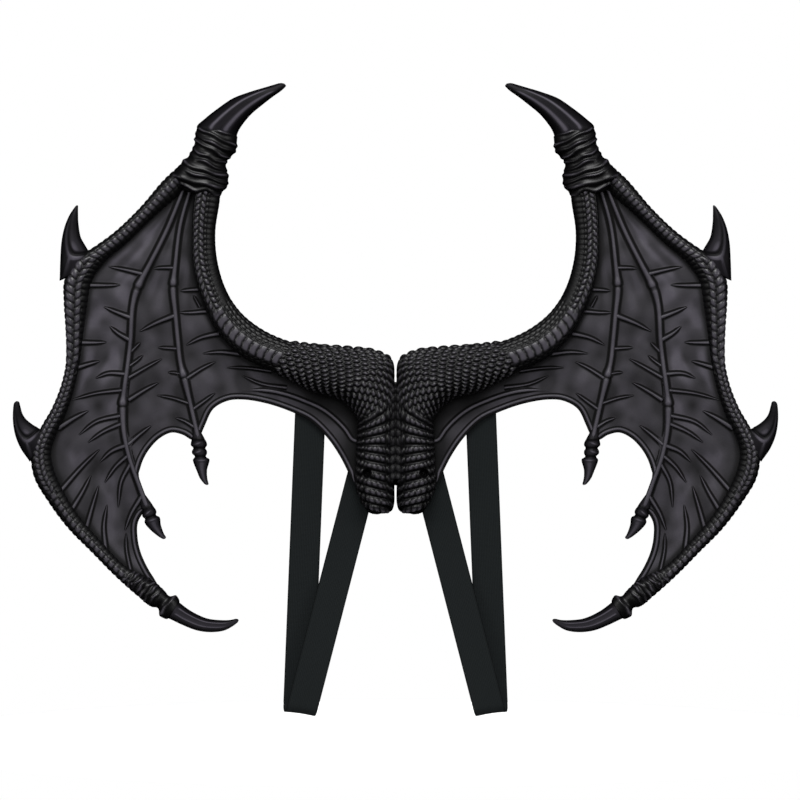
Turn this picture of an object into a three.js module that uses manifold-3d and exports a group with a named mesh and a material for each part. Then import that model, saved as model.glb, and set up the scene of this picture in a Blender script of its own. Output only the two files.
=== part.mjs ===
// Costume dragon wings: two moulded foam wings joined at the hub, worn by two elastic shoulder loops.
// Millimetres, +Z up. X runs across the wearer's back, Y points at the wearer, the hubs' backs are at Y = 0.
// A wing is drawn on the +X side by distances out from the centre and up from the hub, then mirrored.
import * as THREE from 'three';
import { mergeVertices } from 'three/addons/utils/BufferGeometryUtils.js';
import Module from 'manifold-3d';

const wasm = await Module();
wasm.setup();

// Driving dimensions
const GAP = 0.3;
const WELD = 1e-4;
const MEMBRANE_Y = -7;
const MEMBRANE_THICK = 2.4;
const MEMBRANE_SAG = 5;
const SEAM_LAP = 1.5;
const SWEEP_FROM = 100;
const SWEEP_SPAN = 224;
const SWEEP_DEPTH = 16;
const RIB_HEIGHT_TO_WIDTH = 0.64;
const CUFF_RING = 1.1;
const WRIST_RINGS = 7;
const TIP_RINGS = 4;
const JOINT_WIDTH = 1.4;
const JOINT_DEPTH = 12;
const JOINT_BACK = 2;
const JOINT_TOP = 32;
const JOINT_BOTTOM = -46;

// Shoulder loops
const STRAP_WIDTH = 26;
const STRAP_THICK = 1.6;
const STRAP_BEND = 7;
const STRAP_BEND_Y = -1;
const STRAP_UPPER_END = { out: 70, up: 66 };
const STRAP_LOWER_END = { out: 24, up: -21 };
const STRAP_FOLD = { out: 81.5, up: -240 };
const STRAP_UPPER_FREE = 250;
const STRAP_LOWER_FREE = 160;
const RIVET_UPPER = { out: 71, up: 54 };
const RIVET_LOWER = { out: 23, up: -35 };
const RIVET_HEAD = 5.5;
const RIVET_HEAD_TOP = 5;
const RIVET_HEAD_THICK = 1.4;
const RIVET_SHANK = 2.4;
const RIVET_LENGTH = 12;
const RIVET_SIDES = 10;
const HUB_HOLE = 3.1;
const HUB_HOLE_DEPTH = 40;
const UPPER_HOLE_DEPTH = 14;
const HOLE_OVERRUN = 1;

// A table row under its column names
const table = (columns, ...rows) => {
  const named = (row) => Object.fromEntries(columns.map((column, i) => [column, row[i]]));
  return rows.map(named);
};
const SECTION = ['rimOut', 'rimUp', 'webOut', 'webUp', 'front', 'back'];
const SPINE = ['out', 'up', 'width'];
const EDGE = ['out', 'up'];

// Arm from the foot of the hub to the wrist: free edge, membrane edge, and depth before and behind
const ARM = table(SECTION,
  [5, -71, 18.5, -71, 8, 7],
  [1.3, -64, 25, -66, 17, 7],
  [1, -47, 33.5, -48.5, 21, 7],
  [1, -25.5, 33.5, -30, 23, 7],
  [1, -1.5, 32.5, -8.5, 23, 7],
  [1, 21, 32.5, 9.5, 24, 7],
  [1.5, 42.5, 38.5, 18.5, 24, 7],
  [4.5, 61, 49.5, 26.5, 24, 7],
  [16.5, 67, 62.5, 30.5, 22, 7],
  [38.5, 70, 74.5, 34, 20, 7],
  [66, 72, 88, 41.5, 18, 7],
  [89.5, 75.5, 105, 49.5, 16, 7],
  [113.5, 86, 128, 60.5, 15, 6.5],
  [132, 101, 147.5, 79, 13, 6],
  [144, 120.5, 163.5, 108, 12, 5.5],
  [151, 144.5, 172, 140, 11, 5],
  [152.5, 168.5, 173, 170, 10.5, 5],
  [149, 193, 171.5, 195.5, 10.5, 5],
  [147.5, 207.5, 168.5, 209, 10.5, 5],
);

// Outer finger from the wrist to the lower tip
const FINGER = table(SECTION,
  [180, 227, 171.5, 212.5, 8, 5],
  [196, 212.5, 185, 198, 8, 5],
  [216.5, 188.5, 207, 178.5, 7, 4.5],
  [236.5, 169, 228, 158, 7, 4.5],
  [254.5, 155.5, 242.5, 146, 7.5, 4.5],
  [269, 146, 249.5, 138.5, 8.5, 5],
  [280, 126.5, 257, 126.5, 9, 5],
  [280.5, 109, 260.5, 108, 8.5, 5],
  [279, 85, 264, 83.5, 7.5, 4.5],
  [278.5, 59.5, 267, 58.5, 6.5, 4],
  [282.5, 39, 271.5, 36.5, 6.5, 4],
  [290.5, 18.5, 278.5, 14.5, 6.5, 4],
  [299, 3.5, 286.5, -2.5, 7, 4.5],
  [307.5, -16, 291, -17, 7.5, 5],
  [305.5, -39, 289, -32.5, 7.5, 5],
  [293.5, -60.5, 281, -51, 6.5, 4.5],
  [276.5, -83.5, 267.5, -73, 6, 4],
  [257, -103.5, 248.5, -95, 5.5, 4],
  [240, -121, 232.5, -112, 5.5, 4],
  [225.5, -134.5, 217, -123, 6, 4],
  [208.5, -149, 200, -135, 6, 4],
);

// Wrinkled wrap at the wrist, from the arm up to the horn
const WRIST_CUFF = table(SECTION,
  [150, 197, 182.5, 204, 11.5, 6],
  [141.5, 209, 188.5, 215, 14.5, 7],
  [142.5, 221, 182.5, 226, 15, 7],
  [143, 227, 176.5, 232, 14, 7],
  [135.5, 235.5, 171.5, 241.5, 15, 8],
  [134, 242, 170.5, 247.5, 15, 8],
  [134.5, 251, 168.5, 256, 14, 8],
  [137.5, 254, 164.5, 257.5, 12, 7],
);

// Wrap and collar at the lower tip
const TIP_CUFF = table(SECTION,
  [232.5, -128.5, 224, -118, 6.5, 5],
  [219, -140, 208.5, -125, 8, 6],
  [207, -150.5, 195, -136, 8, 6],
  [202, -151.5, 191.5, -140, 7, 5.5],
  [200, -158, 185.5, -140, 9.5, 7.5],
  [194, -161, 182.5, -144.5, 9.5, 7.5],
  [191.5, -160, 183, -146.5, 8, 6.5],
);

// Claws, each from its root to its point
const CLAWS = {
  thumb_claw: table(SECTION,
    [135.5, 249, 167, 254, 12.5, 8.5],
    [129.5, 259, 160, 264.5, 12.5, 8.5],
    [122, 268, 150, 273.5, 11.5, 8],
    [112.5, 276, 138, 281.5, 10, 7.5],
    [103.5, 283, 123.5, 287, 7.5, 6],
    [96.5, 288, 110, 291, 4.5, 4],
    [92, 292.5, 96.5, 295, 1.2, 1.2],
  ),
  tip_claw: table(SECTION,
    [193.5, -159, 184, -145.5, 8, 6.5],
    [181.5, -165, 173, -153.5, 7.5, 6],
    [168.5, -170, 160, -159.5, 6.5, 5],
    [156, -171.5, 149, -161, 5, 4],
    [145, -170, 140.5, -161, 3.5, 3],
    [137.5, -166, 135, -160, 2, 2],
    [133, -162.5, 133, -160.5, 0.8, 0.8],
  ),
  upper_spur: table(SECTION,
    [284, 126.5, 254.5, 143, 7.5, 5],
    [283.5, 143, 261.5, 154.5, 7, 5],
    [282.5, 159, 266, 163, 6, 4.5],
    [280, 171.5, 268, 174, 4.5, 3.5],
    [276, 181.5, 268.5, 183, 3, 2.5],
    [270.5, 190, 268.5, 190.5, 0.8, 0.8],
  ),
  lower_spur: table(SECTION,
    [309, -26.5, 294.5, -1, 7, 5],
    [316.5, -15.5, 305.5, 4, 6, 4.5],
    [321, -4.5, 311, 8.5, 5, 4],
    [323, 7.5, 314.5, 13, 4, 3],
    [322.5, 18.5, 317, 20.5, 2.5, 2],
    [320, 24, 318.5, 24.5, 0.8, 0.8],
  ),
  rib_outer_claw: table(SECTION,
    [215.5, -65.5, 207, -62, 5.5, 3],
    [214.5, -71.5, 203, -67.5, 7, 4.5],
    [212, -74, 203.5, -71.5, 5.5, 3.5],
    [212, -77.5, 200, -75, 7, 4.5],
    [210, -81, 200, -77.5, 6, 4],
    [204.5, -87.5, 197.5, -84.5, 4.5, 3],
    [198.5, -92, 195, -90, 2.5, 2],
    [195, -93, 194, -92, 0.8, 0.8],
  ),
  rib_inner_claw: table(SECTION,
    [172, -5, 163, -5, 5.5, 3],
    [173.5, -10, 160, -10, 7.5, 4.5],
    [171.5, -14.5, 161, -14.5, 6, 3.5],
    [173, -18.5, 160, -18.5, 7, 4],
    [172, -24.5, 158.5, -24, 7.5, 4.5],
    [170.5, -30, 159.5, -28, 6, 4],
    [165.5, -40, 159.5, -38, 3.5, 3],
    [160, -47, 158.5, -46.5, 0.8, 0.8],
  ),
};

// Ribs from the wrist to the trailing edge, swollen at their knuckles
const RIB_INNER = table(SPINE,
  [174, 202.5, 3.5],
  [182.5, 173.5, 4],
  [186.5, 141, 4.5],
  [188.5, 120.5, 6.5],
  [186.5, 98, 5],
  [184.5, 76, 5],
  [182.5, 58, 5],
  [179, 44, 7],
  [174.5, 25, 5],
  [170.5, 7.5, 5],
  [167, -7.5, 6],
);
const RIB_OUTER = table(SPINE,
  [180, 202.5, 3.5],
  [193, 171.5, 4.5],
  [208, 141, 5],
  [218.5, 120.5, 7],
  [222.5, 106, 5.5],
  [224.5, 76, 5],
  [226.5, 58, 5],
  [230, 31.5, 5.5],
  [231, 20.5, 7.5],
  [230, -1, 5.5],
  [225.5, -23, 5],
  [218, -44.5, 5],
  [211, -64.5, 6],
);

// Trailing edge of each membrane panel
const EDGE_INNER = table(EDGE,
  [35.5, -44],
  [46.5, -22],
  [57.5, -6],
  [72.5, 8.5],
  [88, 16],
  [108.5, 23],
  [129, 26.5],
  [142.5, 25.5],
  [155, 18.5],
  [162, 5],
  [167, -7.5],
);
const EDGE_MIDDLE = table(EDGE,
  [167, -7.5],
  [172, -8],
  [180, -3.5],
  [190, -1.5],
  [200, -6],
  [208.5, -14.5],
  [214.5, -24.5],
  [219.5, -41],
);
const EDGE_OUTER = table(EDGE,
  [211, -64.5],
  [219, -78],
  [219.5, -91],
  [217, -103.5],
  [210.5, -118],
  [202, -131],
);
const HUB_ROOT_ROW = 2;
const WRIST_ROW = 18;
const ARM_TUCK = 0.65;
const FINGER_TUCK = 0.45;
const MIDDLE_PANEL_END = 0.885;
const SCALLOP_POWER = 3;

// Sections along each piece, and columns and rows of each membrane panel
const ARM_STEPS = 30;
const FINGER_STEPS = 32;
const WRIST_STEPS = 21;
const TIP_STEPS = 14;
const CLAW_STEPS = 9;
const STRAP_STEPS = 9;
const BEND_STEPS = 8;
const PANEL_CELLS = { inner: [13, 4], middle: [6, 6], outer: [6, 11] };

// Section outlines: across from the rim (-1) to the web (+1), and from the front (-1) to the back (+1)
const FLAT_BACK = [
  [-1, 0], [-0.84, -0.58], [-0.46, -0.91], [0, -1], [0.46, -0.91], [0.84, -0.58], [1, 0], [0.8, 1], [-0.8, 1],
];
const SLIM_BACK = [
  [-1, 0], [-0.8, -0.62], [-0.36, -0.95], [0.36, -0.95], [0.8, -0.62], [1, 0], [0.78, 1], [-0.78, 1],
];
const ROUND_BACK = [
  [-1, 0], [-0.8, -0.6], [-0.34, -0.95], [0.34, -0.95], [0.8, -0.6], [1, 0], [0.6, 0.85], [-0.6, 0.85],
];
const BLADE = [[-1, -1], [1, -1], [1, 1], [-1, 1]];
const RIB_SECTION = [[-1, 0], [-0.75, -0.7], [0, -1], [0.75, -0.7], [1, 0]];

// Looks of the materials
const FINISHES = {
  scaled: { color: 0x2b2b2f, roughness: 0.5, metalness: 0 },
  claw: { color: 0x323136, roughness: 0.4, metalness: 0 },
  skin: { color: 0x3b3a40, roughness: 0.62, metalness: 0 },
  elastic: { color: 0x202326, roughness: 0.9, metalness: 0 },
  rivet: { color: 0x1b1b1d, roughness: 0.45, metalness: 0 },
};

// Curves
const mix = (a, b, t) => a + (b - a) * t;
const curveOf = (rows, out, up) => {
  const points = rows.map((row) => new THREE.Vector3(row[out], 0, row[up]));
  return new THREE.CatmullRomCurve3(points, false, 'centripetal');
};
const columnAt = (rows, column, t) => {
  const place = t * (rows.length - 1);
  const row = Math.min(Math.floor(place), rows.length - 2);
  return mix(rows[row][column], rows[row + 1][column], place - row);
};

// A closed solid from its corners and faces, turned to face out
const solidOf = (corners, faces) => {
  let volume = 0;
  faces.forEach(([a, b, c]) => {
    volume += corners[a].dot(corners[b].clone().cross(corners[c]));
  });
  const outward = volume < 0 ? faces.map(([a, b, c]) => [a, c, b]) : faces;
  const geometry = new THREE.BufferGeometry().setFromPoints(corners);
  geometry.setIndex(outward.flat());
  return geometry;
};

// The wing's outer half leans back from the wearer
const sweep = (point) => {
  const past = Math.max(0, point.x - SWEEP_FROM) / SWEEP_SPAN;
  point.y -= SWEEP_DEPTH * past * past;
  return point;
};

// A solid through a stack of rings that all have the same number of corners
const stack = (rings) => {
  const sides = rings[0].length;
  const faces = [];
  rings.slice(1).forEach((ring, k) => {
    ring.forEach((corner, i) => {
      const next = (i + 1) % sides;
      const low = k * sides;
      const high = low + sides;
      faces.push([low + i, low + next, high + next], [low + i, high + next, high + i]);
    });
  });
  const last = (rings.length - 1) * sides;
  for (let i = 1; i < sides - 1; i += 1) {
    faces.push([0, i + 1, i], [last, last + i, last + i + 1]);
  }
  return solidOf(rings.flat(), faces);
};

// A bone, wrap or claw through its table of sections; grow makes the larger copy that cuts a neighbour
const bone = (rows, outline, steps, { grow = 0, rings = 0, plane = MEMBRANE_Y } = {}) => {
  const rim = curveOf(rows, 'rimOut', 'rimUp');
  const web = curveOf(rows, 'webOut', 'webUp');
  const ringAt = (k) => {
    const t = k / steps;
    const swell = grow + CUFF_RING * (rings ? Math.cos(2 * Math.PI * rings * t) : 0);
    const a = rim.getPoint(t);
    const b = web.getPoint(t);
    const middle = a.clone().add(b).multiplyScalar(0.5);
    const half = b.clone().sub(a).multiplyScalar(0.5);
    half.setLength(half.length() + swell);
    const front = columnAt(rows, 'front', t) + swell;
    const back = columnAt(rows, 'back', t) + grow;
    return outline.map(([across, depth]) => {
      const corner = middle.clone().addScaledVector(half, across);
      corner.y = plane + depth * (depth < 0 ? front : back);
      return sweep(corner);
    });
  };
  return stack(Array.from({ length: steps + 1 }, (unused, k) => ringAt(k)));
};

// Rim and web edges of a rib from its spine
const ribSections = (rows) => {
  const spine = curveOf(rows, 'out', 'up');
  const backward = new THREE.Vector3(0, 1, 0);
  return rows.map((row, i) => {
    const along = spine.getTangent(i / (rows.length - 1));
    const side = along.cross(backward).multiplyScalar(row.width / 2);
    return {
      rimOut: row.out - side.x,
      rimUp: row.up - side.z,
      webOut: row.out + side.x,
      webUp: row.up + side.z,
      front: RIB_HEIGHT_TO_WIDTH * row.width,
      back: 0,
    };
  });
};

// A membrane panel: place(across, along) gives its middle surface, sagging between its two sides
const panel = (place, columns, rows) => {
  const layer = (offset) => {
    const points = [];
    for (let j = 0; j <= rows; j += 1) {
      for (let i = 0; i <= columns; i += 1) {
        const across = i / columns;
        const along = j / rows;
        const point = place(across, along);
        point.y = MEMBRANE_Y + offset + MEMBRANE_SAG * 4 * across * (1 - across) * along;
        points.push(sweep(point));
      }
    }
    return points;
  };
  const wide = columns + 1;
  const count = wide * (rows + 1);
  const faces = [];
  const quad = (a, b, c, d) => faces.push([a, b, c], [a, c, d]);
  for (let j = 0; j < rows; j += 1) {
    for (let i = 0; i < columns; i += 1) {
      const at = j * wide + i;
      quad(at, at + 1, at + wide + 1, at + wide);
      quad(count + at + wide, count + at + wide + 1, count + at + 1, count + at);
    }
    const left = j * wide;
    const right = left + columns;
    quad(left, left + wide, count + left + wide, count + left);
    quad(right, count + right, count + right + wide, right + wide);
  }
  for (let i = 0; i < columns; i += 1) {
    const end = rows * wide + i;
    quad(i, count + i, count + i + 1, i + 1);
    quad(end, end + 1, count + end + 1, count + end);
  }
  return solidOf([...layer(-MEMBRANE_THICK / 2), ...layer(MEMBRANE_THICK / 2)], faces);
};

// Joining and cutting
const toManifold = (geometry) => {
  const merged = mergeVertices(geometry, WELD);
  const vertProperties = merged.attributes.position.array;
  const triVerts = new Uint32Array(merged.index.array);
  return new wasm.Manifold(new wasm.Mesh({ numProp: 3, vertProperties, triVerts }));
};
const toGeometry = (manifold) => {
  const bodies = manifold.decompose();
  const largest = bodies.reduce((a, b) => (b.volume() > a.volume() ? b : a));
  const mesh = largest.getMesh();
  const geometry = new THREE.BufferGeometry();
  geometry.setAttribute('position', new THREE.BufferAttribute(new Float32Array(mesh.vertProperties), 3));
  geometry.setIndex(new THREE.BufferAttribute(new Uint32Array(mesh.triVerts), 1));
  return geometry;
};
const cut = (piece, ...cutters) => {
  const left = cutters.reduce((rest, cutter) => rest.subtract(toManifold(cutter)), toManifold(piece));
  return toGeometry(left);
};
const joined = (...pieces) => toGeometry(pieces.map(toManifold).reduce((a, b) => a.add(b)));

// Round pieces along Y
const pinAt = ({ out, up }, radius, front, back) => {
  const pin = new THREE.CylinderGeometry(radius, radius, back - front, RIVET_SIDES);
  pin.deleteAttribute('normal');
  pin.deleteAttribute('uv');
  return mergeVertices(pin.translate(out, (front + back) / 2, up), WELD);
};
const rivetAt = ({ out, up }) => {
  const seat = GAP + STRAP_THICK + GAP;
  const profile = [
    new THREE.Vector2(0, -RIVET_LENGTH),
    new THREE.Vector2(RIVET_SHANK, -RIVET_LENGTH),
    new THREE.Vector2(RIVET_SHANK, seat),
    new THREE.Vector2(RIVET_HEAD, seat),
    new THREE.Vector2(RIVET_HEAD_TOP, seat + RIVET_HEAD_THICK),
    new THREE.Vector2(0, seat + RIVET_HEAD_THICK),
  ];
  const rivet = new THREE.LatheGeometry(profile, RIVET_SIDES);
  rivet.deleteAttribute('normal');
  rivet.deleteAttribute('uv');
  return mergeVertices(rivet.translate(out, 0, up), WELD);
};

// The flat strap: down from the arm, round its fold and up to the hub
const strap = () => {
  const flat = (point) => new THREE.Vector3(point.out, 0, point.up);
  const fold = flat(STRAP_FOLD);
  const downOuter = fold.clone().sub(flat(STRAP_UPPER_END)).normalize();
  const downInner = fold.clone().sub(flat(STRAP_LOWER_END)).normalize();
  const down = downOuter.clone().add(downInner).normalize();
  const inward = new THREE.Vector3(down.z, 0, -down.x);
  const lean = Math.asin(downOuter.dot(inward));
  const rise = STRAP_BEND * Math.tan(lean);
  const yAway = GAP + STRAP_THICK / 2;
  const frames = [];
  const addFrame = (point, along, face) => {
    const across = along.clone().cross(face).normalize().multiplyScalar(STRAP_WIDTH / 2);
    frames.push({ point, across, face: face.clone().multiplyScalar(STRAP_THICK / 2) });
  };
  const bendAt = (angle) => {
    const point = fold.clone().addScaledVector(down, STRAP_BEND * (Math.sin(angle) - 1));
    point.addScaledVector(inward, rise * (angle - Math.PI / 2));
    point.y = STRAP_BEND_Y + STRAP_BEND * Math.cos(angle);
    return point;
  };
  const run = (start, direction, length, free, startY) => {
    const points = [];
    for (let k = 0; k <= STRAP_STEPS; k += 1) {
      const far = (length * k) / STRAP_STEPS;
      const point = start.clone().addScaledVector(direction, far);
      point.y = mix(startY, yAway, THREE.MathUtils.smoothstep(far, 0, free));
      points.push(point);
    }
    return points;
  };
  const back = new THREE.Vector3(0, 1, 0);
  const upOuter = downOuter.clone().negate();
  const upInner = downInner.clone().negate();
  const outerStart = bendAt(0);
  const innerStart = bendAt(Math.PI);
  const outerLength = flat(STRAP_UPPER_END).distanceTo(fold.clone().setY(0));
  const innerLength = flat(STRAP_LOWER_END).distanceTo(fold.clone().setY(0));
  const outer = run(outerStart, upOuter, outerLength, STRAP_UPPER_FREE, outerStart.y).reverse();
  outer.slice(0, -1).forEach((point) => addFrame(point, downOuter, back));
  for (let k = 0; k <= BEND_STEPS; k += 1) {
    const angle = (Math.PI * k) / BEND_STEPS;
    const face = back.clone().multiplyScalar(Math.cos(angle)).addScaledVector(down, Math.sin(angle));
    const circling = down.clone().multiplyScalar(Math.cos(angle)).addScaledVector(back, -Math.sin(angle));
    const along = circling.multiplyScalar(Math.cos(lean)).addScaledVector(inward, Math.sin(lean));
    addFrame(bendAt(angle), along, face);
  }
  const inner = run(innerStart, upInner, innerLength, STRAP_LOWER_FREE, innerStart.y);
  inner.slice(1).forEach((point) => addFrame(point, upInner, back.clone().negate()));
  const ring = ({ point, across, face }) => [
    point.clone().add(across).add(face),
    point.clone().sub(across).add(face),
    point.clone().sub(across).sub(face),
    point.clone().add(across).sub(face),
  ];
  return stack(frames.map(ring));
};

// Solids of one wing
const wrist = (grow, outline = SLIM_BACK) => {
  return bone(WRIST_CUFF, outline, WRIST_STEPS, { grow, rings: WRIST_RINGS });
};
const tipWrap = (grow, outline = SLIM_BACK) => {
  return bone(TIP_CUFF, outline, TIP_STEPS, { grow, rings: TIP_RINGS });
};
const arm = (grow, outline = FLAT_BACK) => bone(ARM, outline, ARM_STEPS, { grow });
const finger = (grow, outline = SLIM_BACK) => bone(FINGER, outline, FINGER_STEPS, { grow });
const claw = (name, grow, outline = ROUND_BACK) => bone(CLAWS[name], outline, CLAW_STEPS, { grow });
const ribPlane = MEMBRANE_Y - MEMBRANE_THICK / 2 - GAP;
const rib = (rows) => bone(ribSections(rows), RIB_SECTION, 2 * (rows.length - 1), { plane: ribPlane });

const membrane = () => {
  const inner = curveOf(RIB_INNER, 'out', 'up');
  const outer = curveOf(RIB_OUTER, 'out', 'up');
  const bow = (curve, t) => curve.getPoint(t).sub(curve.getPoint(0).lerp(curve.getPoint(1), t));
  const lapOut = new THREE.Vector3(SEAM_LAP, 0, 0);
  const tucked = (row, tuck) => ({
    out: mix(row.rimOut, row.webOut, tuck),
    up: mix(row.rimUp, row.webUp, tuck),
  });
  const armRows = ARM.slice(HUB_ROOT_ROW, WRIST_ROW).map((row) => tucked(row, ARM_TUCK));
  const armLine = curveOf([...armRows, RIB_INNER[0]], 'out', 'up');
  const fingerLine = curveOf(FINGER.map((row) => tucked(row, FINGER_TUCK)), 'out', 'up');
  const edgeInner = curveOf(EDGE_INNER, 'out', 'up');
  const edgeMiddle = curveOf(EDGE_MIDDLE, 'out', 'up');
  const edgeOuter = curveOf(EDGE_OUTER, 'out', 'up');
  const scalloped = (sideA, sideB, edge) => (across, along) => {
    const chord = sideA(1).lerp(sideB(1), across);
    const scallop = edge.getPoint(across).sub(chord).multiplyScalar(along ** SCALLOP_POWER);
    return sideA(along).lerp(sideB(along), across).add(scallop);
  };
  const innerPanel = (across, along) => {
    const point = armLine.getPoint(across).lerp(edgeInner.getPoint(across), along);
    return point.addScaledVector(bow(inner, along), across * across);
  };
  const middlePanel = scalloped(
    (t) => inner.getPoint(t).sub(lapOut),
    (t) => outer.getPoint(t * MIDDLE_PANEL_END).add(lapOut),
    edgeMiddle,
  );
  const outerPanel = scalloped(
    (t) => outer.getPoint(t),
    (t) => fingerLine.getPoint(t),
    edgeOuter,
  );
  return joined(
    panel(innerPanel, ...PANEL_CELLS.inner),
    panel(middlePanel, ...PANEL_CELLS.middle),
    panel(outerPanel, ...PANEL_CELLS.outer),
  );
};

// One wing's pieces, with every neighbour that lies in a piece cut out of it
const wingPieces = () => {
  const cuffs = [wrist(GAP), tipWrap(GAP)];
  const bones = [arm(GAP), finger(GAP)];
  const ribClaws = [claw('rib_inner_claw', GAP), claw('rib_outer_claw', GAP)];
  const blades = [arm, finger, wrist, tipWrap].map((piece) => piece(GAP, BLADE));
  const hubHole = pinAt(RIVET_LOWER, HUB_HOLE, -HUB_HOLE_DEPTH, HOLE_OVERRUN);
  const upperHole = pinAt(RIVET_UPPER, RIVET_SHANK + GAP, -UPPER_HOLE_DEPTH, HOLE_OVERRUN);
  const strapHole = (place) => pinAt(place, RIVET_SHANK + GAP, -HOLE_OVERRUN, STRAP_THICK + 2 * HOLE_OVERRUN);
  const strapHoles = [RIVET_UPPER, RIVET_LOWER].map(strapHole);
  const pieces = {
    arm: [cut(arm(0), wrist(GAP), hubHole, upperHole), 'scaled'],
    finger_bone: [cut(finger(0), ...cuffs), 'scaled'],
    wrist_cuff: [wrist(0), 'skin'],
    tip_cuff: [tipWrap(0), 'skin'],
    thumb_claw: [cut(claw('thumb_claw', 0), wrist(GAP)), 'claw'],
    tip_claw: [cut(claw('tip_claw', 0), tipWrap(GAP)), 'claw'],
    upper_spur: [cut(claw('upper_spur', 0), finger(GAP)), 'claw'],
    lower_spur: [cut(claw('lower_spur', 0), finger(GAP)), 'claw'],
    rib_inner: [cut(rib(RIB_INNER), ...cuffs, ...bones, ribClaws[0]), 'skin'],
    rib_outer: [cut(rib(RIB_OUTER), ...cuffs, ...bones, ribClaws[1]), 'skin'],
    rib_inner_claw: [claw('rib_inner_claw', 0), 'claw'],
    rib_outer_claw: [claw('rib_outer_claw', 0), 'claw'],
    membrane: [cut(membrane(), ...blades, ...ribClaws), 'skin'],
    strap: [cut(strap(), ...strapHoles), 'elastic'],
    strap_rivet_upper: [rivetAt(RIVET_UPPER), 'rivet'],
    strap_rivet_lower: [rivetAt(RIVET_LOWER), 'rivet'],
  };
  return Object.entries(pieces);
};

// The pair: the right wing as drawn, the left one mirrored, and the web that joins their hubs
const wings = new THREE.Group();
const pieces = wingPieces();
[['right', 1], ['left', -1]].forEach(([side, direction]) => {
  const wing = new THREE.Group();
  wing.scale.x = direction;
  pieces.forEach(([name, [geometry, finish]]) => {
    const mesh = new THREE.Mesh(geometry, new THREE.MeshStandardMaterial(FINISHES[finish]));
    mesh.name = `${side}_${name}`;
    wing.add(mesh);
  });
  wings.add(wing);
});
const jointShape = new THREE.BoxGeometry(JOINT_WIDTH, JOINT_DEPTH, JOINT_TOP - JOINT_BOTTOM);
const joint = new THREE.Mesh(jointShape, new THREE.MeshStandardMaterial(FINISHES.scaled));
joint.name = 'centre_joint';
joint.position.set(0, -JOINT_BACK - JOINT_DEPTH / 2, (JOINT_TOP + JOINT_BOTTOM) / 2);
wings.add(joint);

export default wings;
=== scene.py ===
import math
import bpy
import numpy as np
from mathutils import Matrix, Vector
from mathutils.bvhtree import BVHTree


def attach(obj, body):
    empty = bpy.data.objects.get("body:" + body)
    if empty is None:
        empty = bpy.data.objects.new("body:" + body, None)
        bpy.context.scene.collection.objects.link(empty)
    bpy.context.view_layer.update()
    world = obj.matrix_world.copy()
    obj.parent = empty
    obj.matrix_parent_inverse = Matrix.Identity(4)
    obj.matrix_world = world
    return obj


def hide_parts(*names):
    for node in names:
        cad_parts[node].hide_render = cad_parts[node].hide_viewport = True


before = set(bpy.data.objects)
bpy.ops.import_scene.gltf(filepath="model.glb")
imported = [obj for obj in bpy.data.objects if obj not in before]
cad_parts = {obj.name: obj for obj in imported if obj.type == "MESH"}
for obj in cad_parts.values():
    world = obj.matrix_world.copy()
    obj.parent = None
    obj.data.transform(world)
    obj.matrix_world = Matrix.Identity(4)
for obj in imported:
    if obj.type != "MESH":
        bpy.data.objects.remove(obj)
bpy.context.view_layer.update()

# Dragon wings worn on the back. Tables are in millimetres: out from the middle, up from the hub.
# The right wing is modelled, and the left one is a mirrored copy of every piece.
mm = 0.001
tiny = 1e-9
wingPlane = -7.0  # where the bones' fronts and backs meet, and the sheet between them
wingSweep = {"from": 100, "over": 224, "depth": 16}  # the outer half sweeps away from the wearer
backTone = 0.75  # tone of the plain backs
wingPieces = []


def deselectAll():
    if bpy.context.mode != "OBJECT":
        bpy.ops.object.mode_set(mode="OBJECT")
    bpy.ops.object.select_all(action="DESELECT")


def pickAll(pieces):
    deselectAll()
    for piece in pieces:
        piece.select_set(True)
    bpy.context.view_layer.objects.active = pieces[0]


def editAll():
    bpy.ops.object.mode_set(mode="EDIT")
    bpy.ops.mesh.select_all(action="SELECT")


def weldAll(reach):
    editAll()
    bpy.ops.mesh.remove_doubles(threshold=reach)
    bpy.ops.mesh.normals_make_consistent(inside=False)
    bpy.ops.object.mode_set(mode="OBJECT")


def nameAs(piece, name):
    piece.name = name
    piece.data.name = name
    return piece


def pieceName(node):  # rib_inner becomes rightRibInner
    return "right" + "".join(word.capitalize() for word in node.split("_"))


# Curves and sections
def curveThrough(points, t):
    points = np.asarray(points, float)
    last = len(points) - 1
    knots = np.vstack([2 * points[0] - points[1], points, 2 * points[-1] - points[-2]])
    place = np.clip(np.asarray(t, float), 0, 1) * last
    step = np.minimum(place.astype(int), last - 1)
    w = (place - step)[:, None]
    p0, p1, p2, p3 = (knots[step + k] for k in range(4))
    spans = ((p0, p1), (p1, p2), (p2, p3))
    d0, d1, d2 = (np.maximum(np.linalg.norm(b - a, axis=1), 1e-4)[:, None] ** 0.5 for a, b in spans)
    m1 = ((p1 - p0) / d0 - (p2 - p0) / (d0 + d1) + (p2 - p1) / d1) * d1
    m2 = ((p2 - p1) / d1 - (p3 - p1) / (d1 + d2) + (p3 - p2) / d2) * d1
    return p1 + m1 * w + (3 * (p2 - p1) - 2 * m1 - m2) * w ** 2 + (2 * (p1 - p2) + m1 + m2) * w ** 3


def runAlong(line):  # distance from the first point to each point
    return np.concatenate([[0], np.cumsum(np.linalg.norm(np.diff(line, axis=0), axis=1))])


def evenlyAlong(points, count, spread=((0, 0), (1, 1)), fineSteps=1500):
    fine = np.linspace(0, 1, fineSteps)
    run = runAlong(curveThrough(points, fine))
    counts, lengths = zip(*spread)  # share of the rings, share of the length
    along = np.interp(np.linspace(0, 1, count), counts, lengths) * run[-1]
    return np.interp(along, run, fine), along


def ease(x, start, end):
    w = np.clip((x - start) / (end - start), 0, 1)
    return w * w * (3 - 2 * w)


def mix(first, second, share):
    return first * (1 - share) + second * share


def dome(x, square=2.4, soft=0.6):
    return np.clip(1 - np.abs(np.clip(x, -1, 1)) ** square, 0, 1) ** soft


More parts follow.
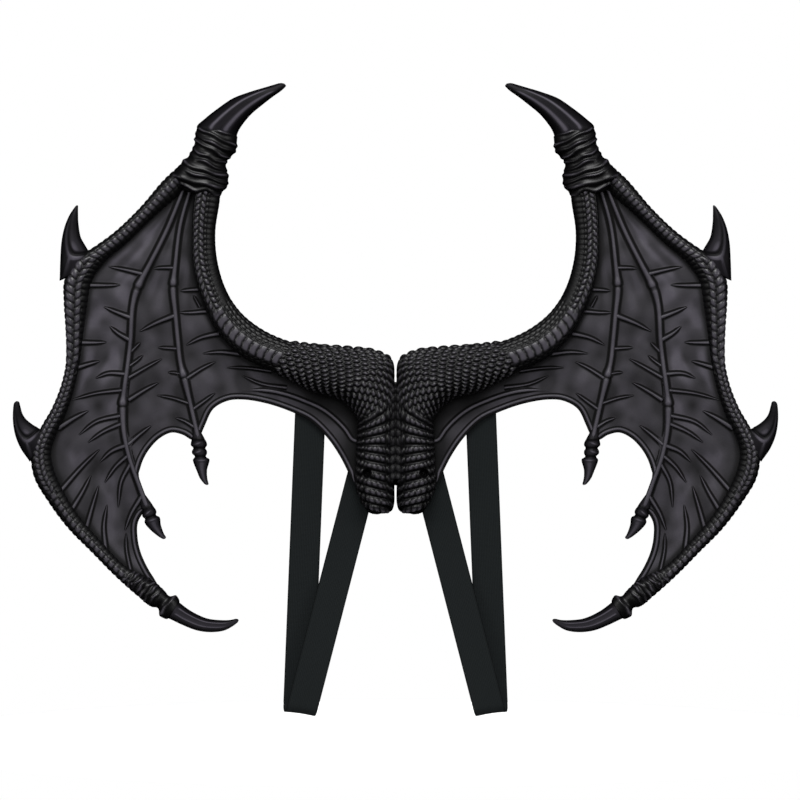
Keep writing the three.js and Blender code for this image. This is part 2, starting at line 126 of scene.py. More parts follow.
def bead(u, v, square=2.2, soft=0.55):
    return np.clip(1 - np.abs(u) ** square - np.abs(v) ** square, 0, 1) ** soft


# On a bone, s runs along it and q across it from the crest. In one scale, u and v run from -1 to 1.
def cells(place, pitch, shift=0.0):
    count = place / pitch + shift
    return 2 * (count - np.floor(count)) - 1


def everyOther(place, pitch):  # half a cell's shift in every other row
    return 0.5 * (np.floor(place / pitch) % 2)


def bricks(s, q, pitch, row):
    return cells(s, pitch, everyOther(q, row)), cells(q, row)


def braided(s, q, pitch, column, slant, square):  # two columns of slanting scales, half a pitch apart
    u = cells(s + slant * np.abs(q), pitch, 0.5 * (q > 0))
    return dome(u, square) * dome(2 * np.abs(q) / column - 1, square)


def stages(s, ends):  # soft steps from one kind of scale to the next
    return [ease(s, end - soft, end + soft) for end, soft in ends]


def shaded(tone, facing, least):  # painted shade: the tone falls off to its least on the flanks
    return tone * (least + (1 - least) * facing)


def sweepAt(out):
    return -wingSweep["depth"] * (np.clip(out - wingSweep["from"], 0, None) / wingSweep["over"]) ** 2


def leanBack(points):
    points[..., 1] += sweepAt(points[..., 0])
    return points


# Rows give both edges and the depths. Every ring is a domed front on a boxy back.
def boneSurface(shape, crest=0.0, boxy=5.0, full=2.0):
    rows = np.asarray(shape["rows"], float)
    middles = (rows[:, 0:2] + rows[:, 2:4]) / 2
    t, along = evenlyAlong(middles, shape["rings"], shape.get("spread", ((0, 0), (1, 1))))
    rim, web, depths = (curveThrough(rows[:, k:k + 2], t) for k in (0, 2, 4))
    half = shape["back"] // 2
    angle = np.concatenate([
        np.linspace(-math.pi / 2, 0, half, endpoint=False),
        np.linspace(0, math.pi, shape["front"], endpoint=False),
        np.linspace(math.pi, 1.5 * math.pi, half, endpoint=False),
    ])
    c, s = np.cos(angle), np.sin(angle)
    isFront = s >= -tiny
    frontAcross = -np.sign(c) * np.abs(c) ** (2 / full) + np.reshape(crest, (-1, 1)) * (1 - c * c)
    across = np.where(isFront, frontAcross, -np.sign(c) * np.abs(c) ** (2 / boxy))
    frontDeep = -depths[:, :1] * np.abs(s) ** (2 / full)
    deep = np.where(isFront, frontDeep, depths[:, 1:] * np.abs(s) ** (2 / boxy))
    centre, reach = (rim + web) / 2, (web - rim) / 2
    points = leanBack(np.stack([centre[:, :1] + reach[:, :1] * across, wingPlane + deep,
                                centre[:, 1:] + reach[:, 1:] * across], axis=2))
    steps = np.linalg.norm(np.diff(points, axis=1), axis=2)
    around = np.pad(np.cumsum(steps, axis=1), ((0, 0), (1, 0)))
    top = half + shape["front"] // 2
    q = around - around[:, top:top + 1]  # distance across from the crest
    return {"points": points, "along": along[:, None], "part": (along / along[-1])[:, None],
            "q": q, "rim": q[:, half:half + 1], "angle": angle[None], "across": -c[None], "toFront": s[None]}


def surfaceNormals(points):
    alongStep = np.gradient(points, axis=0)
    aroundStep = np.roll(points, -1, axis=1) - np.roll(points, 1, axis=1)
    normal = np.cross(aroundStep, alongStep)
    normal /= np.maximum(np.linalg.norm(normal, axis=2, keepdims=True), tiny)
    outward = points - points.mean(axis=1, keepdims=True)
    return normal if (normal * outward).sum() > 0 else -normal


def lifted(bone, height):
    height = np.broadcast_to(height, bone["q"].shape)
    return bone["points"] + surfaceNormals(bone["points"]) * height[..., None]


def coverBone(shape, bone, height, tone):  # scales on the front, a plain back
    onFront, facing = (ease(bone["toFront"], *shape[key]) for key in ("onFront", "facing"))
    points = lifted(bone, (height - shape["sink"]) * onFront)
    # painted shade darkens the flanks of the scaled front
    return points, mix(backTone, shaded(tone, facing, shape["shadedFlankShare"]), onFront)


# A grid is added, and its corners are laid along the rows
def layGrid(name, points, marks):
    rows, columns = points.shape[:2]
    deselectAll()
    bpy.ops.mesh.primitive_grid_add(x_subdivisions=columns - 1, y_subdivisions=rows - 1, size=1)
    piece = nameAs(bpy.context.object, name)
    piece.data.vertices.foreach_set("co", (points * mm).astype(np.float32).ravel())
    for key, values in marks.items():
        mark = piece.data.attributes.new(key, "FLOAT", "POINT")
        mark.data.foreach_set("value", values.astype(np.float32).ravel())
    piece.data.update()
    return piece


# The ends are rounded off, and the long seam and the poles are merged
def buildSleeve(name, points, marks, bulges, rounds=6):
    turns = np.linspace(0, math.pi / 2, rounds + 1)[1:]

    def cap(ring, inner, bulge):
        centre = ring.mean(axis=0)
        way = centre - inner.mean(axis=0)
        way /= max(np.linalg.norm(way), tiny)
        return np.stack([centre + (ring - centre) * math.cos(k) + way * bulge * math.sin(k) for k in turns])

    start = cap(points[0], points[1], bulges[0])[::-1]
    end = cap(points[-1], points[-2], bulges[1])
    rings = np.concatenate([start, points, end])
    wrapped = {}
    for key, values in marks.items():
        ended = np.pad(values, ((rounds, rounds), (0, 0)), mode="edge")
        wrapped[key] = np.concatenate([ended, ended[:, :1]], axis=1)
    piece = layGrid(name, np.concatenate([rings, rings[:, :1]], axis=1), wrapped)
    weldAll(1e-7)
    bpy.ops.object.shade_smooth()
    return piece


def joinPieces(name, pieces):
    pickAll(pieces)
    bpy.ops.object.join()
    return nameAs(pieces[0], name)


def keepPiece(piece, node, slotName, finish):
    piece.data.materials.clear()
    piece.data.materials.append(finishes[finish])
    wingPieces.append((piece, node, slotName))


# Finishes: the foam's tone and gloss follow a mark that holds painted shade in the grooves and painted
# highlights on the raised tops of each piece
foamLooks = {
    "scaleFoam": {"colours": ((0.0, 0.0009), (0.35, 0.0020), (0.75, 0.0085), (1.0, 0.028)),
                  "rough": (0.44, 0.29), "gloss": 0.22, "grain": 900, "grainDepth": 0.10, "cloud": 60},
    "skinFoam": {"colours": ((0.0, 0.0008), (0.4, 0.0024), (0.75, 0.0095), (1.0, 0.027)),
                 "rough": (0.42, 0.31), "gloss": 0.22, "grain": 700, "grainDepth": 0.10, "cloud": 50},
    "membraneFoam": {"colours": ((0.0, 0.0002), (0.35, 0.0045), (0.75, 0.0190), (1.0, 0.0360)),
                     "rough": (0.90, 0.38), "gloss": 0.16, "grain": 650, "grainDepth": 0.12, "cloud": 90},
    "clawFoam": {"colours": ((0.0, 0.0006), (0.4, 0.0034), (0.75, 0.0105), (1.0, 0.042)),
                 "rough": (0.50, 0.30), "gloss": 0.035, "grain": 420, "grainDepth": 0.05, "cloud": 70},
}
foamTint = (1.05, 0.965, 1.18)  # a touch of violet in the black
foamClouds = ((0.3, (0.80, 0.80, 0.82)), (0.72, (1.0, 1.0, 1.0)))  # place on the noise, shade
grainHeight = 0.0006  # metres
elasticLook = {
    "rough": 0.82, "gloss": 0.06, "uneven": 0.4,
    "picks": ("X", 0.30), "ends": ("Y", 0.22),  # cross threads and long rubber threads
    "tones": ((0, (0.0026, 0.0033, 0.0035)), (1, (0.0058, 0.0073, 0.0077))),
    "selvedge": (11.4, 12.7), "selvedgeShade": 0.55,  # dark threads along both edges
    "weaveDepth": 0.35, "weaveHeight": 0.0004,
}
rivetLook = {"scuffs": 260, "rough": (0.34, 0.55),
             "tones": ((0, (0.008, 0.008, 0.009)), (1, (0.022, 0.022, 0.024)))}


def newFinish(name):
    finish = bpy.data.materials.new(name)
    finish.use_nodes = True
    return finish


def plug(finish, node, sockets):  # a socket is linked, and a number or colour is set
    for key, value in sockets.items():
        if isinstance(value, bpy.types.NodeSocket):
            finish.node_tree.links.new(value, node.inputs[key])
        else:
            node.inputs[key].default_value = value


def addNode(finish, kind, sockets):
    node = finish.node_tree.nodes.new("ShaderNode" + kind)
    plug(finish, node, sockets)
    return node


def addMark(finish, name):
    mark = addNode(finish, "Attribute", {})
    mark.attribute_name = name
    return mark.outputs["Fac"]


def addNoise(finish, scale, detail):
    spot = addNode(finish, "TexCoord", {}).outputs["Object"]
    return addNode(finish, "TexNoise", {"Vector": spot, "Scale": scale, "Detail": detail}).outputs["Fac"]


def addRamp(finish, amount, tones):
    ramp = addNode(finish, "ValToRGB", {"Fac": amount})
    stops = ramp.color_ramp.elements
    while len(stops) < len(tones):
        stops.new(0.5)
    for stop, (place, colour) in zip(stops, tones):
        stop.position = place
        stop.color = (*colour, 1)
    return ramp.outputs["Color"]


def addRange(finish, amount, to, start=(0.0, 1.0)):
    ends = {"From Min": start[0], "From Max": start[1], "To Min": to[0], "To Max": to[1]}
    return addNode(finish, "MapRange", {"Value": amount, **ends}).outputs["Result"]


def addProduct(finish, colour, shade):
    product = addNode(finish, "Mix", {0: 1.0})
    product.data_type = "RGBA"
    product.blend_type = "MULTIPLY"
    plug(finish, product, {6: colour, 7: shade})
    return product.outputs[2]


def addBump(finish, height, depth, distance):
    sockets = {"Height": height, "Strength": depth, "Distance": distance}
    return addNode(finish, "Bump", sockets).outputs["Normal"]


def dress(finish, sockets):
    plug(finish, finish.node_tree.nodes["Principled BSDF"], sockets)
    return finish


def makeFoam(name, look):
    foam = newFinish(name)
    # the mark is painted light and shade: low in grooves and hollows, high on the raised tops
    relief = addMark(foam, "relief")
    colours = [(place, [value * tint for tint in foamTint]) for place, value in look["colours"]]
    clouds = addRamp(foam, addNoise(foam, look["cloud"], 5), foamClouds)
    return dress(foam, {
        "Specular IOR Level": look["gloss"],
        "Base Color": addProduct(foam, addRamp(foam, relief, colours), clouds),
        "Roughness": addRange(foam, relief, look["rough"]),
        "Normal": addBump(foam, addNoise(foam, look["grain"], 3), look["grainDepth"], grainHeight),
    })


def makeElastic(name, look):
    elastic = newFinish(name)
    lengthwise, crosswise = addMark(elastic, "weaveLong"), addMark(elastic, "weaveWide")
    thread = addNode(elastic, "CombineXYZ", {"X": lengthwise, "Y": crosswise}).outputs["Vector"]
    threads = []
    for way, scale in (look["picks"], look["ends"]):
        wave = addNode(elastic, "TexWave", {"Vector": thread, "Scale": scale, "Distortion": look["uneven"]})
        wave.bands_direction = way
        threads.append(wave.outputs["Fac"])
    woven = addNode(elastic, "Mix", {0: 0.5, 2: threads[0], 3: threads[1]})
    woven.data_type = "FLOAT"
    weave = woven.outputs[0]
    sideways = addNode(elastic, "Math", {0: crosswise})
    sideways.operation = "ABSOLUTE"
    selvedge = addRange(elastic, sideways.outputs["Value"], (1.0, look["selvedgeShade"]), look["selvedge"])
    return dress(elastic, {
        "Roughness": look["rough"],
        "Specular IOR Level": look["gloss"],
        "Base Color": addProduct(elastic, addRamp(elastic, weave, look["tones"]), selvedge),
        "Normal": addBump(elastic, weave, look["weaveDepth"], look["weaveHeight"]),
    })


def makePlastic(name, look):
    plastic = newFinish(name)
    scuffs = addNoise(plastic, look["scuffs"], 6)
    return dress(plastic, {"Base Color": addRamp(plastic, scuffs, look["tones"]),
                           "Roughness": addRange(plastic, scuffs, look["rough"])})


finishes = {name: makeFoam(name, look) for name, look in foamLooks.items()}
finishes["wovenElastic"] = makeElastic("wovenElastic", elasticLook)
finishes["rivetPlastic"] = makePlastic("rivetPlastic", rivetLook)
print("finishes ready")


# Arm: hub and upper arm in one moulding, covered in scales
armShape = {
    "rings": 545, "front": 114, "back": 10, "spread": ((0, 0), (0.55, 0.44), (1, 1)),
    "rows": [  # rim out, rim up, web out, web up, front, back
        (9, -70.5, 15.5, -71, 4, 5), (3.5, -68.5, 22, -69.5, 12, 7), (1.3, -63, 26.5, -65, 18, 7),
        (1, -47, 33.5, -48.5, 21, 7), (1, -25.5, 33.5, -30, 23, 7), (1, -1.5, 32.5, -8.5, 23, 7),
        (1, 21, 32.5, 9.5, 24, 7), (0.9, 42.5, 38.5, 18.5, 24, 7), (2.8, 59, 49.5, 26.5, 24, 7),
        (16.5, 67, 62.5, 30.5, 22, 7), (38.5, 70, 74.5, 34, 20, 7), (66, 72, 88, 41.5, 18, 7),
        (89.5, 75.5, 105, 49.5, 16, 7), (113.5, 86, 128, 60.5, 15, 6.5), (132, 101, 147.5, 79, 13, 6),
        (144, 120.5, 163.5, 108, 12, 5.5), (151, 144.5, 172, 140, 11, 5), (152.5, 168.5, 173, 170, 10.5, 5),
        (149, 193, 171.5, 195.5, 10.5, 5), (147.5, 207.5, 168.5, 209, 10.5, 5),
    ],
    "crest": ((0, 0.0), (0.45, 0.05), (0.6, 0.22), (0.8, 0.38), (1, 0.34)),  # share of the length, lean
    "slope": (0.32, 52, 0.35, 90, 68),  # droop of the bands below, rise above, and where they turn
    "bands": (7.4, 4.6, 10.5, 5.6, 2.3),  # pitch, bead, half width, bead beside them, height
    "beads": (7.3, 4.2, 1.9),  # pitch, row, height
    "rimBeads": (7.3, 7.0, 1.35, 116),  # pitch, width, height, start: larger beads along the free edge
    "scutes": (7.0, 6.6, 1.5),  # pitch, half width, height
    "braid": (5.4, 4.8, 1.5),  # pitch, column, height
    "flank": (5.6, 4.4, 0.9),  # pitch, row, height
    "tread": (4.6, 3.0),  # pitch of the fine cross ridges on the free side, width of their one row of beads
    "ends": ((86, 6), (188, 3), (258, 5)),  # where bands, beads and scutes end along the arm, and how softly
    "barGroove": 1.32, "besideGroove": (1.3, 1.15), "beadGroove": (1.18, 1.08),  # wider above 1
    "dots": (0.3, 8, 20),  # how far the beads shrink towards the membrane, from and to
    "flankShadeTone": 0.2, "treadTones": (0.05, 0.55, 0.16),  # painted shade of the flanks; tones of the web side (painted shade), row of beads, cross ridges
    "meet": (9, 3, 122, 112, 1.0),  # plain where the hubs meet: from the rim, along the arm, height
    "hole": (24, -36.5, 2.8, 9), "holeEdge": (1.4, -1.2), "holeShade": 4.5,  # out, up, radius, depth
    "sink": 0.9, "contrast": 1.7, "shadedFlankShare": 0.25, "bulges": (0.6, 2.0),
    "onFront": (-0.45, -0.1), "facing": (0.05, 0.6),  # where scales and tones set in round the section
}


def armRelief(shape, bone):
    s, q = bone["along"], bone["q"]
    droop, low, rise, high, turn = shape["slope"]
    pitch, wide, half, sideWide, bandHeight = shape["bands"]
    slanted = s - (droop * ease(s, turn, low) - rise * ease(s, turn, high)) * q
    u, v = cells(slanted, pitch), cells(q, wide, everyOther(slanted, pitch))
    bar = dome(u * shape["barGroove"], square=2.0) * (0.5 + 0.5 * dome(v)) * dome(q / half, square=8)
    alongGroove, acrossGroove = shape["besideGroove"]
    beside = 0.8 * bead(u * alongGroove, cells(np.abs(q) - half, sideWide) * acrossGroove)
    bands = np.where(np.abs(q) < half, bar, beside)
    pitch, row, beadHeight = shape["beads"]
    u, v = bricks(s, q, pitch, row)
    shrink, start, end = shape["dots"]
    small = 1 + shrink * ease(q, start, end)
    alongGroove, acrossGroove = shape["beadGroove"]
    beads = bead(u * alongGroove * small, v * acrossGroove * small) * (1 - 0.2 * u)
    pitch, wide, rimHeight, start = shape["rimBeads"]
    v = (q - bone["rim"] - wide / 4) / (wide / 2)
    beads = np.where((np.abs(v) < 1) & (s > start), rimHeight * bead(cells(s, pitch), v), beads)
    pitch, half, scuteHeight = shape["scutes"]
    scutes = dome(cells(s + 0.2 * np.abs(q), pitch), square=4.5) * dome(q / half, square=6)
    inScutes = np.abs(q) < half
    pitch, column, braidHeight = shape["braid"]
    braid = braided(s, q, pitch, column, slant=0.55, square=2.6)
    inBraid = np.abs(q) < column
    pitch, row, flankHeight = shape["flank"]
    flank = bead(*bricks(s, q, pitch, row))
    pitch, row = shape["tread"]
    u, v = cells(s, pitch), 2 * (-column - q) / row - 1
    inRow, beadRow = np.abs(v) < 1, bead(u, v)
    tread = np.where(q > 0, 0.5 * flank, np.where(inRow, beadRow, 0.6 * dome(u, square=2.0)))
    # the marks are painted highlights on the scale tops and painted shade in the gaps and on the web side
    webTone, rowTone, ridgeTone = shape["treadTones"]
    ridgeMark = np.where(inRow, rowTone * beadRow, ridgeTone * dome(u * 1.3, square=2.0))
    treadMark = np.where(q > 0, webTone * flank, ridgeMark)
    toBeads, toScutes, toBraid = stages(s, shape["ends"])
    hub = mix(bands * bandHeight, beads * beadHeight, toBeads)
    hubMark = mix(bands, np.clip(beads, 0, 1), toBeads)
    plate = np.where(inScutes, scutes * scuteHeight, flank * flankHeight)
    plateMark = np.where(inScutes, scutes, shape["flankShadeTone"] * flank)
    twist = np.where(inBraid, braid * braidHeight, tread * flankHeight)
    twistMark = np.where(inBraid, braid, treadMark)
    height = mix(hub, mix(plate, twist, toBraid), toScutes)
    return height, mix(hubMark, mix(plateMark, twistMark, toBraid), toScutes)


def buildArm(shape):
    part = np.interp(np.linspace(0, 1, shape["rings"]), *zip(*shape["spread"]))
    bone = boneSurface(shape, np.interp(part, *zip(*shape["crest"])), full=2.4)
    height, mark = armRelief(shape, bone)
    inner, outer, end, start, level = shape["meet"]
    meets = ease(bone["q"] - bone["rim"], inner, outer) * ease(bone["along"], end, start)
    height = mix(height, level, meets)
    mark = mark * (1 - meets)
    points, relief = coverBone(shape, bone, height, mark ** shape["contrast"])
    out, up, radius, depth = shape["hole"]
    away = np.hypot(points[..., 0] - out, points[..., 2] - up)
    front = bone["toFront"] > 0
    points[..., 1] += depth * ease(away, *(radius + edge for edge in shape["holeEdge"])) * front
    # painted shade in and round the hole
    relief = relief * (1 - ease(away, radius + shape["holeShade"], radius) * front)
    return buildSleeve("rightArmScales", points, {"relief": relief}, shape["bulges"])


keepPiece(buildArm(armShape), "arm", "scales", "scaleFoam")
print("arm modelled")


# Finger: long outer bone from the wrist to the lower tip
fingerShape = {
    "rings": 600, "front": 44, "back": 8,
    "rows": [
        (180, 227, 171.5, 212.5, 8, 5), (196, 212.5, 185, 198, 8, 5), (216.5, 188.5, 207, 178.5, 7, 4.5),
        (236.5, 169, 228, 158, 7, 4.5), (254.5, 155.5, 242.5, 146, 7.5, 4.5),
        (269, 146, 249.5, 138.5, 8.5, 5), (280, 126.5, 257, 126.5, 9, 5), (280.5, 109, 260.5, 108, 8.5, 5),
        (279, 85, 264, 83.5, 7.5, 4.5), (278.5, 59.5, 267, 58.5, 6.5, 4), (282.5, 39, 271.5, 36.5, 6.5, 4),
        (290.5, 18.5, 278.5, 14.5, 6.5, 4), (299, 3.5, 286.5, -2.5, 7, 4.5), (307.5, -16, 291, -17, 7.5, 5),
        (305.5, -39, 289, -32.5, 7.5, 5), (293.5, -60.5, 281, -51, 6.5, 4.5),
        (276.5, -83.5, 267.5, -73, 6, 4), (257, -103.5, 248.5, -95, 5.5, 4),
        (240, -121, 232.5, -112, 5.5, 4), (225.5, -134.5, 217, -123, 6, 4), (208.5, -149, 200, -135, 6, 4),
    ],
    "crest": -0.12, "sink": 0.6, "middle": 0.8,  # the scales' middle line lies beside the crest
    "hoops": (5.2, 4.0, 1.0),  # pitch, half width, height
    "ears": (6.8, 9.5, 5.8, 1.4),  # pitch, outer and inner column, height
    "rope": (4.8, 4.2, 1.1),  # pitch, column, height
    "beads": (5.8, 2.9, 1.1),  # pitch, half width, height
    "flank": (5.2, 0.8),  # pitch, height
    "ends": ((112, 5), (205, 8), (318, 6)),  # where hoops, ears and rope end along the finger
    "contrast": (1.1, 0.8, 80, 160),  # at the wrist, past the bend, from and to
    "onFront": (-0.5, -0.1), "facing": (0.0, 0.55), "shadedFlankShare": 0.25, "bulges": (2.0, 2.0),
    "flankShadeTone": 0.05, "plainBelow": 0.02,  # where no scale reaches this tone, the flank shows in painted shade
}


def fingerRelief(shape, bone):
    s, q = bone["along"], bone["q"]
    off = q - shape["middle"]
    pitch, half, hoopHeight = shape["hoops"]
    hoops = dome(cells(s + 0.25 * q, pitch), square=2.6) * dome(off / half, square=3)
    pitch, outer, inner, earHeight = shape["ears"]
    column = np.abs(off) / np.where(off < 0, outer, inner)
    u = cells(s + 0.6 * np.abs(off), pitch, 0.5 * (off < 0))
    ears = dome(u, square=2.8) * dome(2 * column - 1, square=2.6)
    pitch, column, ropeHeight = shape["rope"]
    rope = braided(s, q, pitch, column, slant=0.6, square=2.4)
    pitch, half, beadHeight = shape["beads"]
    beads = dome(cells(s, pitch), square=2.2) * dome(q / half)
    pitch, flankHeight = shape["flank"]
    flank = dome(cells(s, pitch), square=2.2)
    toEars, toRope, toBeads = stages(s, shape["ends"])
    weights = (1 - toEars, toEars * (1 - toRope), toRope * (1 - toBeads), toBeads)
    plates = (hoops, ears, rope, beads)
    heights = (hoopHeight, earHeight, ropeHeight, beadHeight)
    # the marks are painted highlights on the plate tops and painted shade between them
    mark = sum(w * plate for w, plate in zip(weights, plates))
    height = sum(w * plate * tall for w, plate, tall in zip(weights, plates, heights))
    plain = mark < shape["plainBelow"]
    return np.where(plain, flank * flankHeight, height), np.where(plain, shape["flankShadeTone"] * flank, mark)


def buildFinger(shape):
    bone = boneSurface(shape, shape["crest"])
    height, mark = fingerRelief(shape, bone)
    atWrist, past, start, end = shape["contrast"]
    contrast = mix(atWrist, past, ease(bone["along"], start, end))
    points, relief = coverBone(shape, bone, height, mark ** contrast)
    return buildSleeve("rightFingerScales", points, {"relief": relief}, shape["bulges"])


keepPiece(buildFinger(fingerShape), "finger_bone", "scales", "scaleFoam")
print("finger modelled")


# Cuffs: wrinkled wraps at the wrist and at the lower tip
cuffShapes = {
    "wrist_cuff": {
        "rings": 170, "front": 64, "back": 14, "contrast": 2.0,
        "rows": [
            (150, 197, 182.5, 204, 11.5, 6), (141.5, 209, 188.5, 215, 14.5, 7),
            (142.5, 221, 182.5, 226, 15, 7), (143, 227, 176.5, 232, 14, 7),
            (135.5, 235.5, 171.5, 241.5, 15, 8), (134, 242, 170.5, 247.5, 15, 8),
            (134, 249.5, 169, 255.5, 14, 8), (138.5, 252.5, 164.5, 257, 11, 6.5),
        ],
        "folds": [  # along, tilt, sag in the middle, height, width, wave
            (3.5, 1.0, 1.5, 1.8, 1.5, 1.5), (9.5, 2.0, 2.0, 2.3, 1.9, 0.7), (15.5, 4.5, 1.5, 1.9, 1.5, 0.8),
            (21.0, 4.0, 2.5, 2.5, 1.9, 0.6), (27.0, 5.5, 1.0, 2.0, 1.5, 0.9),
            (33.0, 4.5, 2.0, 2.1, 1.7, 0.7), (39.5, 6.0, 1.0, 2.2, 1.6, 0.5),
            (45.0, 5.0, 1.5, 2.1, 1.7, 0.6), (51.0, 5.5, 0.5, 2.0, 1.6, 0.5),
            (57.0, 3.0, 0.5, 1.4, 1.5, 0.5),
        ],
        "knot": (13.0, 0.7, 2.4, 6.0, 0.35),  # along, across, height, length, breadth
    },
    "tip_cuff": {
        "rings": 140, "front": 40, "back": 12, "contrast": 1.2,
        "rows": [
            (232.5, -128.5, 224, -118, 6.5, 5), (219, -140, 208.5, -125, 8, 6),
            (207, -150.5, 195, -136, 8, 6), (202, -151.5, 191.5, -140, 7, 5.5),
            (200, -158, 185.5, -140, 9.5, 7.5), (194, -161, 182.5, -144.5, 9.5, 7.5),
            (191.5, -160, 183, -146.5, 8, 6.5),
        ],
        "folds": [
            (2.0, 1.2, 0.6, 1.4, 1.5, 0.5), (6.8, 1.0, 0.8, 1.7, 1.6, 0.5), (11.4, 1.4, 0.6, 1.6, 1.5, 0.5),
            (16.2, 0.8, 0.9, 1.8, 1.7, 0.5), (21.0, 1.3, 0.6, 1.6, 1.5, 0.5),
            (25.6, 0.9, 0.7, 1.7, 1.6, 0.5), (30.4, 0.8, 0.5, 1.2, 1.3, 0.5),
            (43.0, 0.0, 0.6, 1.0, 2.2, 0.5),
        ],
        "knot": (17.0, 0.3, 0.8, 4.0, 0.4),
    },
}
cuffWrap = {
    "boxy": 3.4, "sink": 0.8, "sides": (0.55, 1.0), "sideFade": 0.4,
    "onFront": (-0.6, -0.1), "behind": 0.45,  # the wrap runs round the back, lower
    "facing": (0.0, 0.5), "facingBack": (0.3, 0.8),
    "ripple": 6, "swell": (0.25, 4.1, 1.7),  # each fold ripples, and swells and thins along its line
    "grooveShadeTone": 0.03, "shadedFlankShare": 0.3, "bulges": (1.5, 1.5),
}


def buildCuff(node, shape):
    bone = boneSurface(shape, boxy=cuffWrap["boxy"])
    s, across, toFront = bone["along"], bone["across"], bone["toFront"]
    ridge = np.zeros(bone["q"].shape)
    mark = np.zeros(bone["q"].shape)
    share, often, shift = cuffWrap["swell"]
    for at, tilt, sag, height, width, wave in shape["folds"]:
        ripple = wave * np.sin(across * cuffWrap["ripple"] + at)
        line = at + tilt * across + sag * (across ** 2 - 0.6) + ripple
        swell = 1 - share + share * np.sin(across * often + at * shift)
        rise = np.exp(-((s - line) / width) ** 2) * swell
        ridge = np.maximum(ridge, height * rise)
        mark = np.maximum(mark, rise)
    at, side, height, length, breadth = shape["knot"]
    knot = np.exp(-((s - at) / length) ** 2 - ((across - side) / breadth) ** 2) * (toFront > 0)
    ridge = ridge * (1 - cuffWrap["sideFade"] * ease(np.abs(across), *cuffWrap["sides"])) + height * knot
    onFront = mix(cuffWrap["behind"], 1, ease(toFront, *cuffWrap["onFront"]))
    facing = np.maximum(ease(toFront, *cuffWrap["facing"]), ease(-toFront, *cuffWrap["facingBack"]))
    points = lifted(bone, (ridge - cuffWrap["sink"]) * onFront)
    # painted highlights on the fold crests, painted shade in the grooves and on the flanks
    tone = mix(cuffWrap["grooveShadeTone"], 1, np.clip(mark, 0, 1) ** shape["contrast"])
    relief = shaded(tone, facing, cuffWrap["shadedFlankShare"])
    return buildSleeve(pieceName(node), points, {"relief": relief}, cuffWrap["bulges"])


for cuffName, cuffShape in cuffShapes.items():
    keepPiece(buildCuff(cuffName, cuffShape), cuffName, "skin", "skinFoam")
print("cuffs modelled")


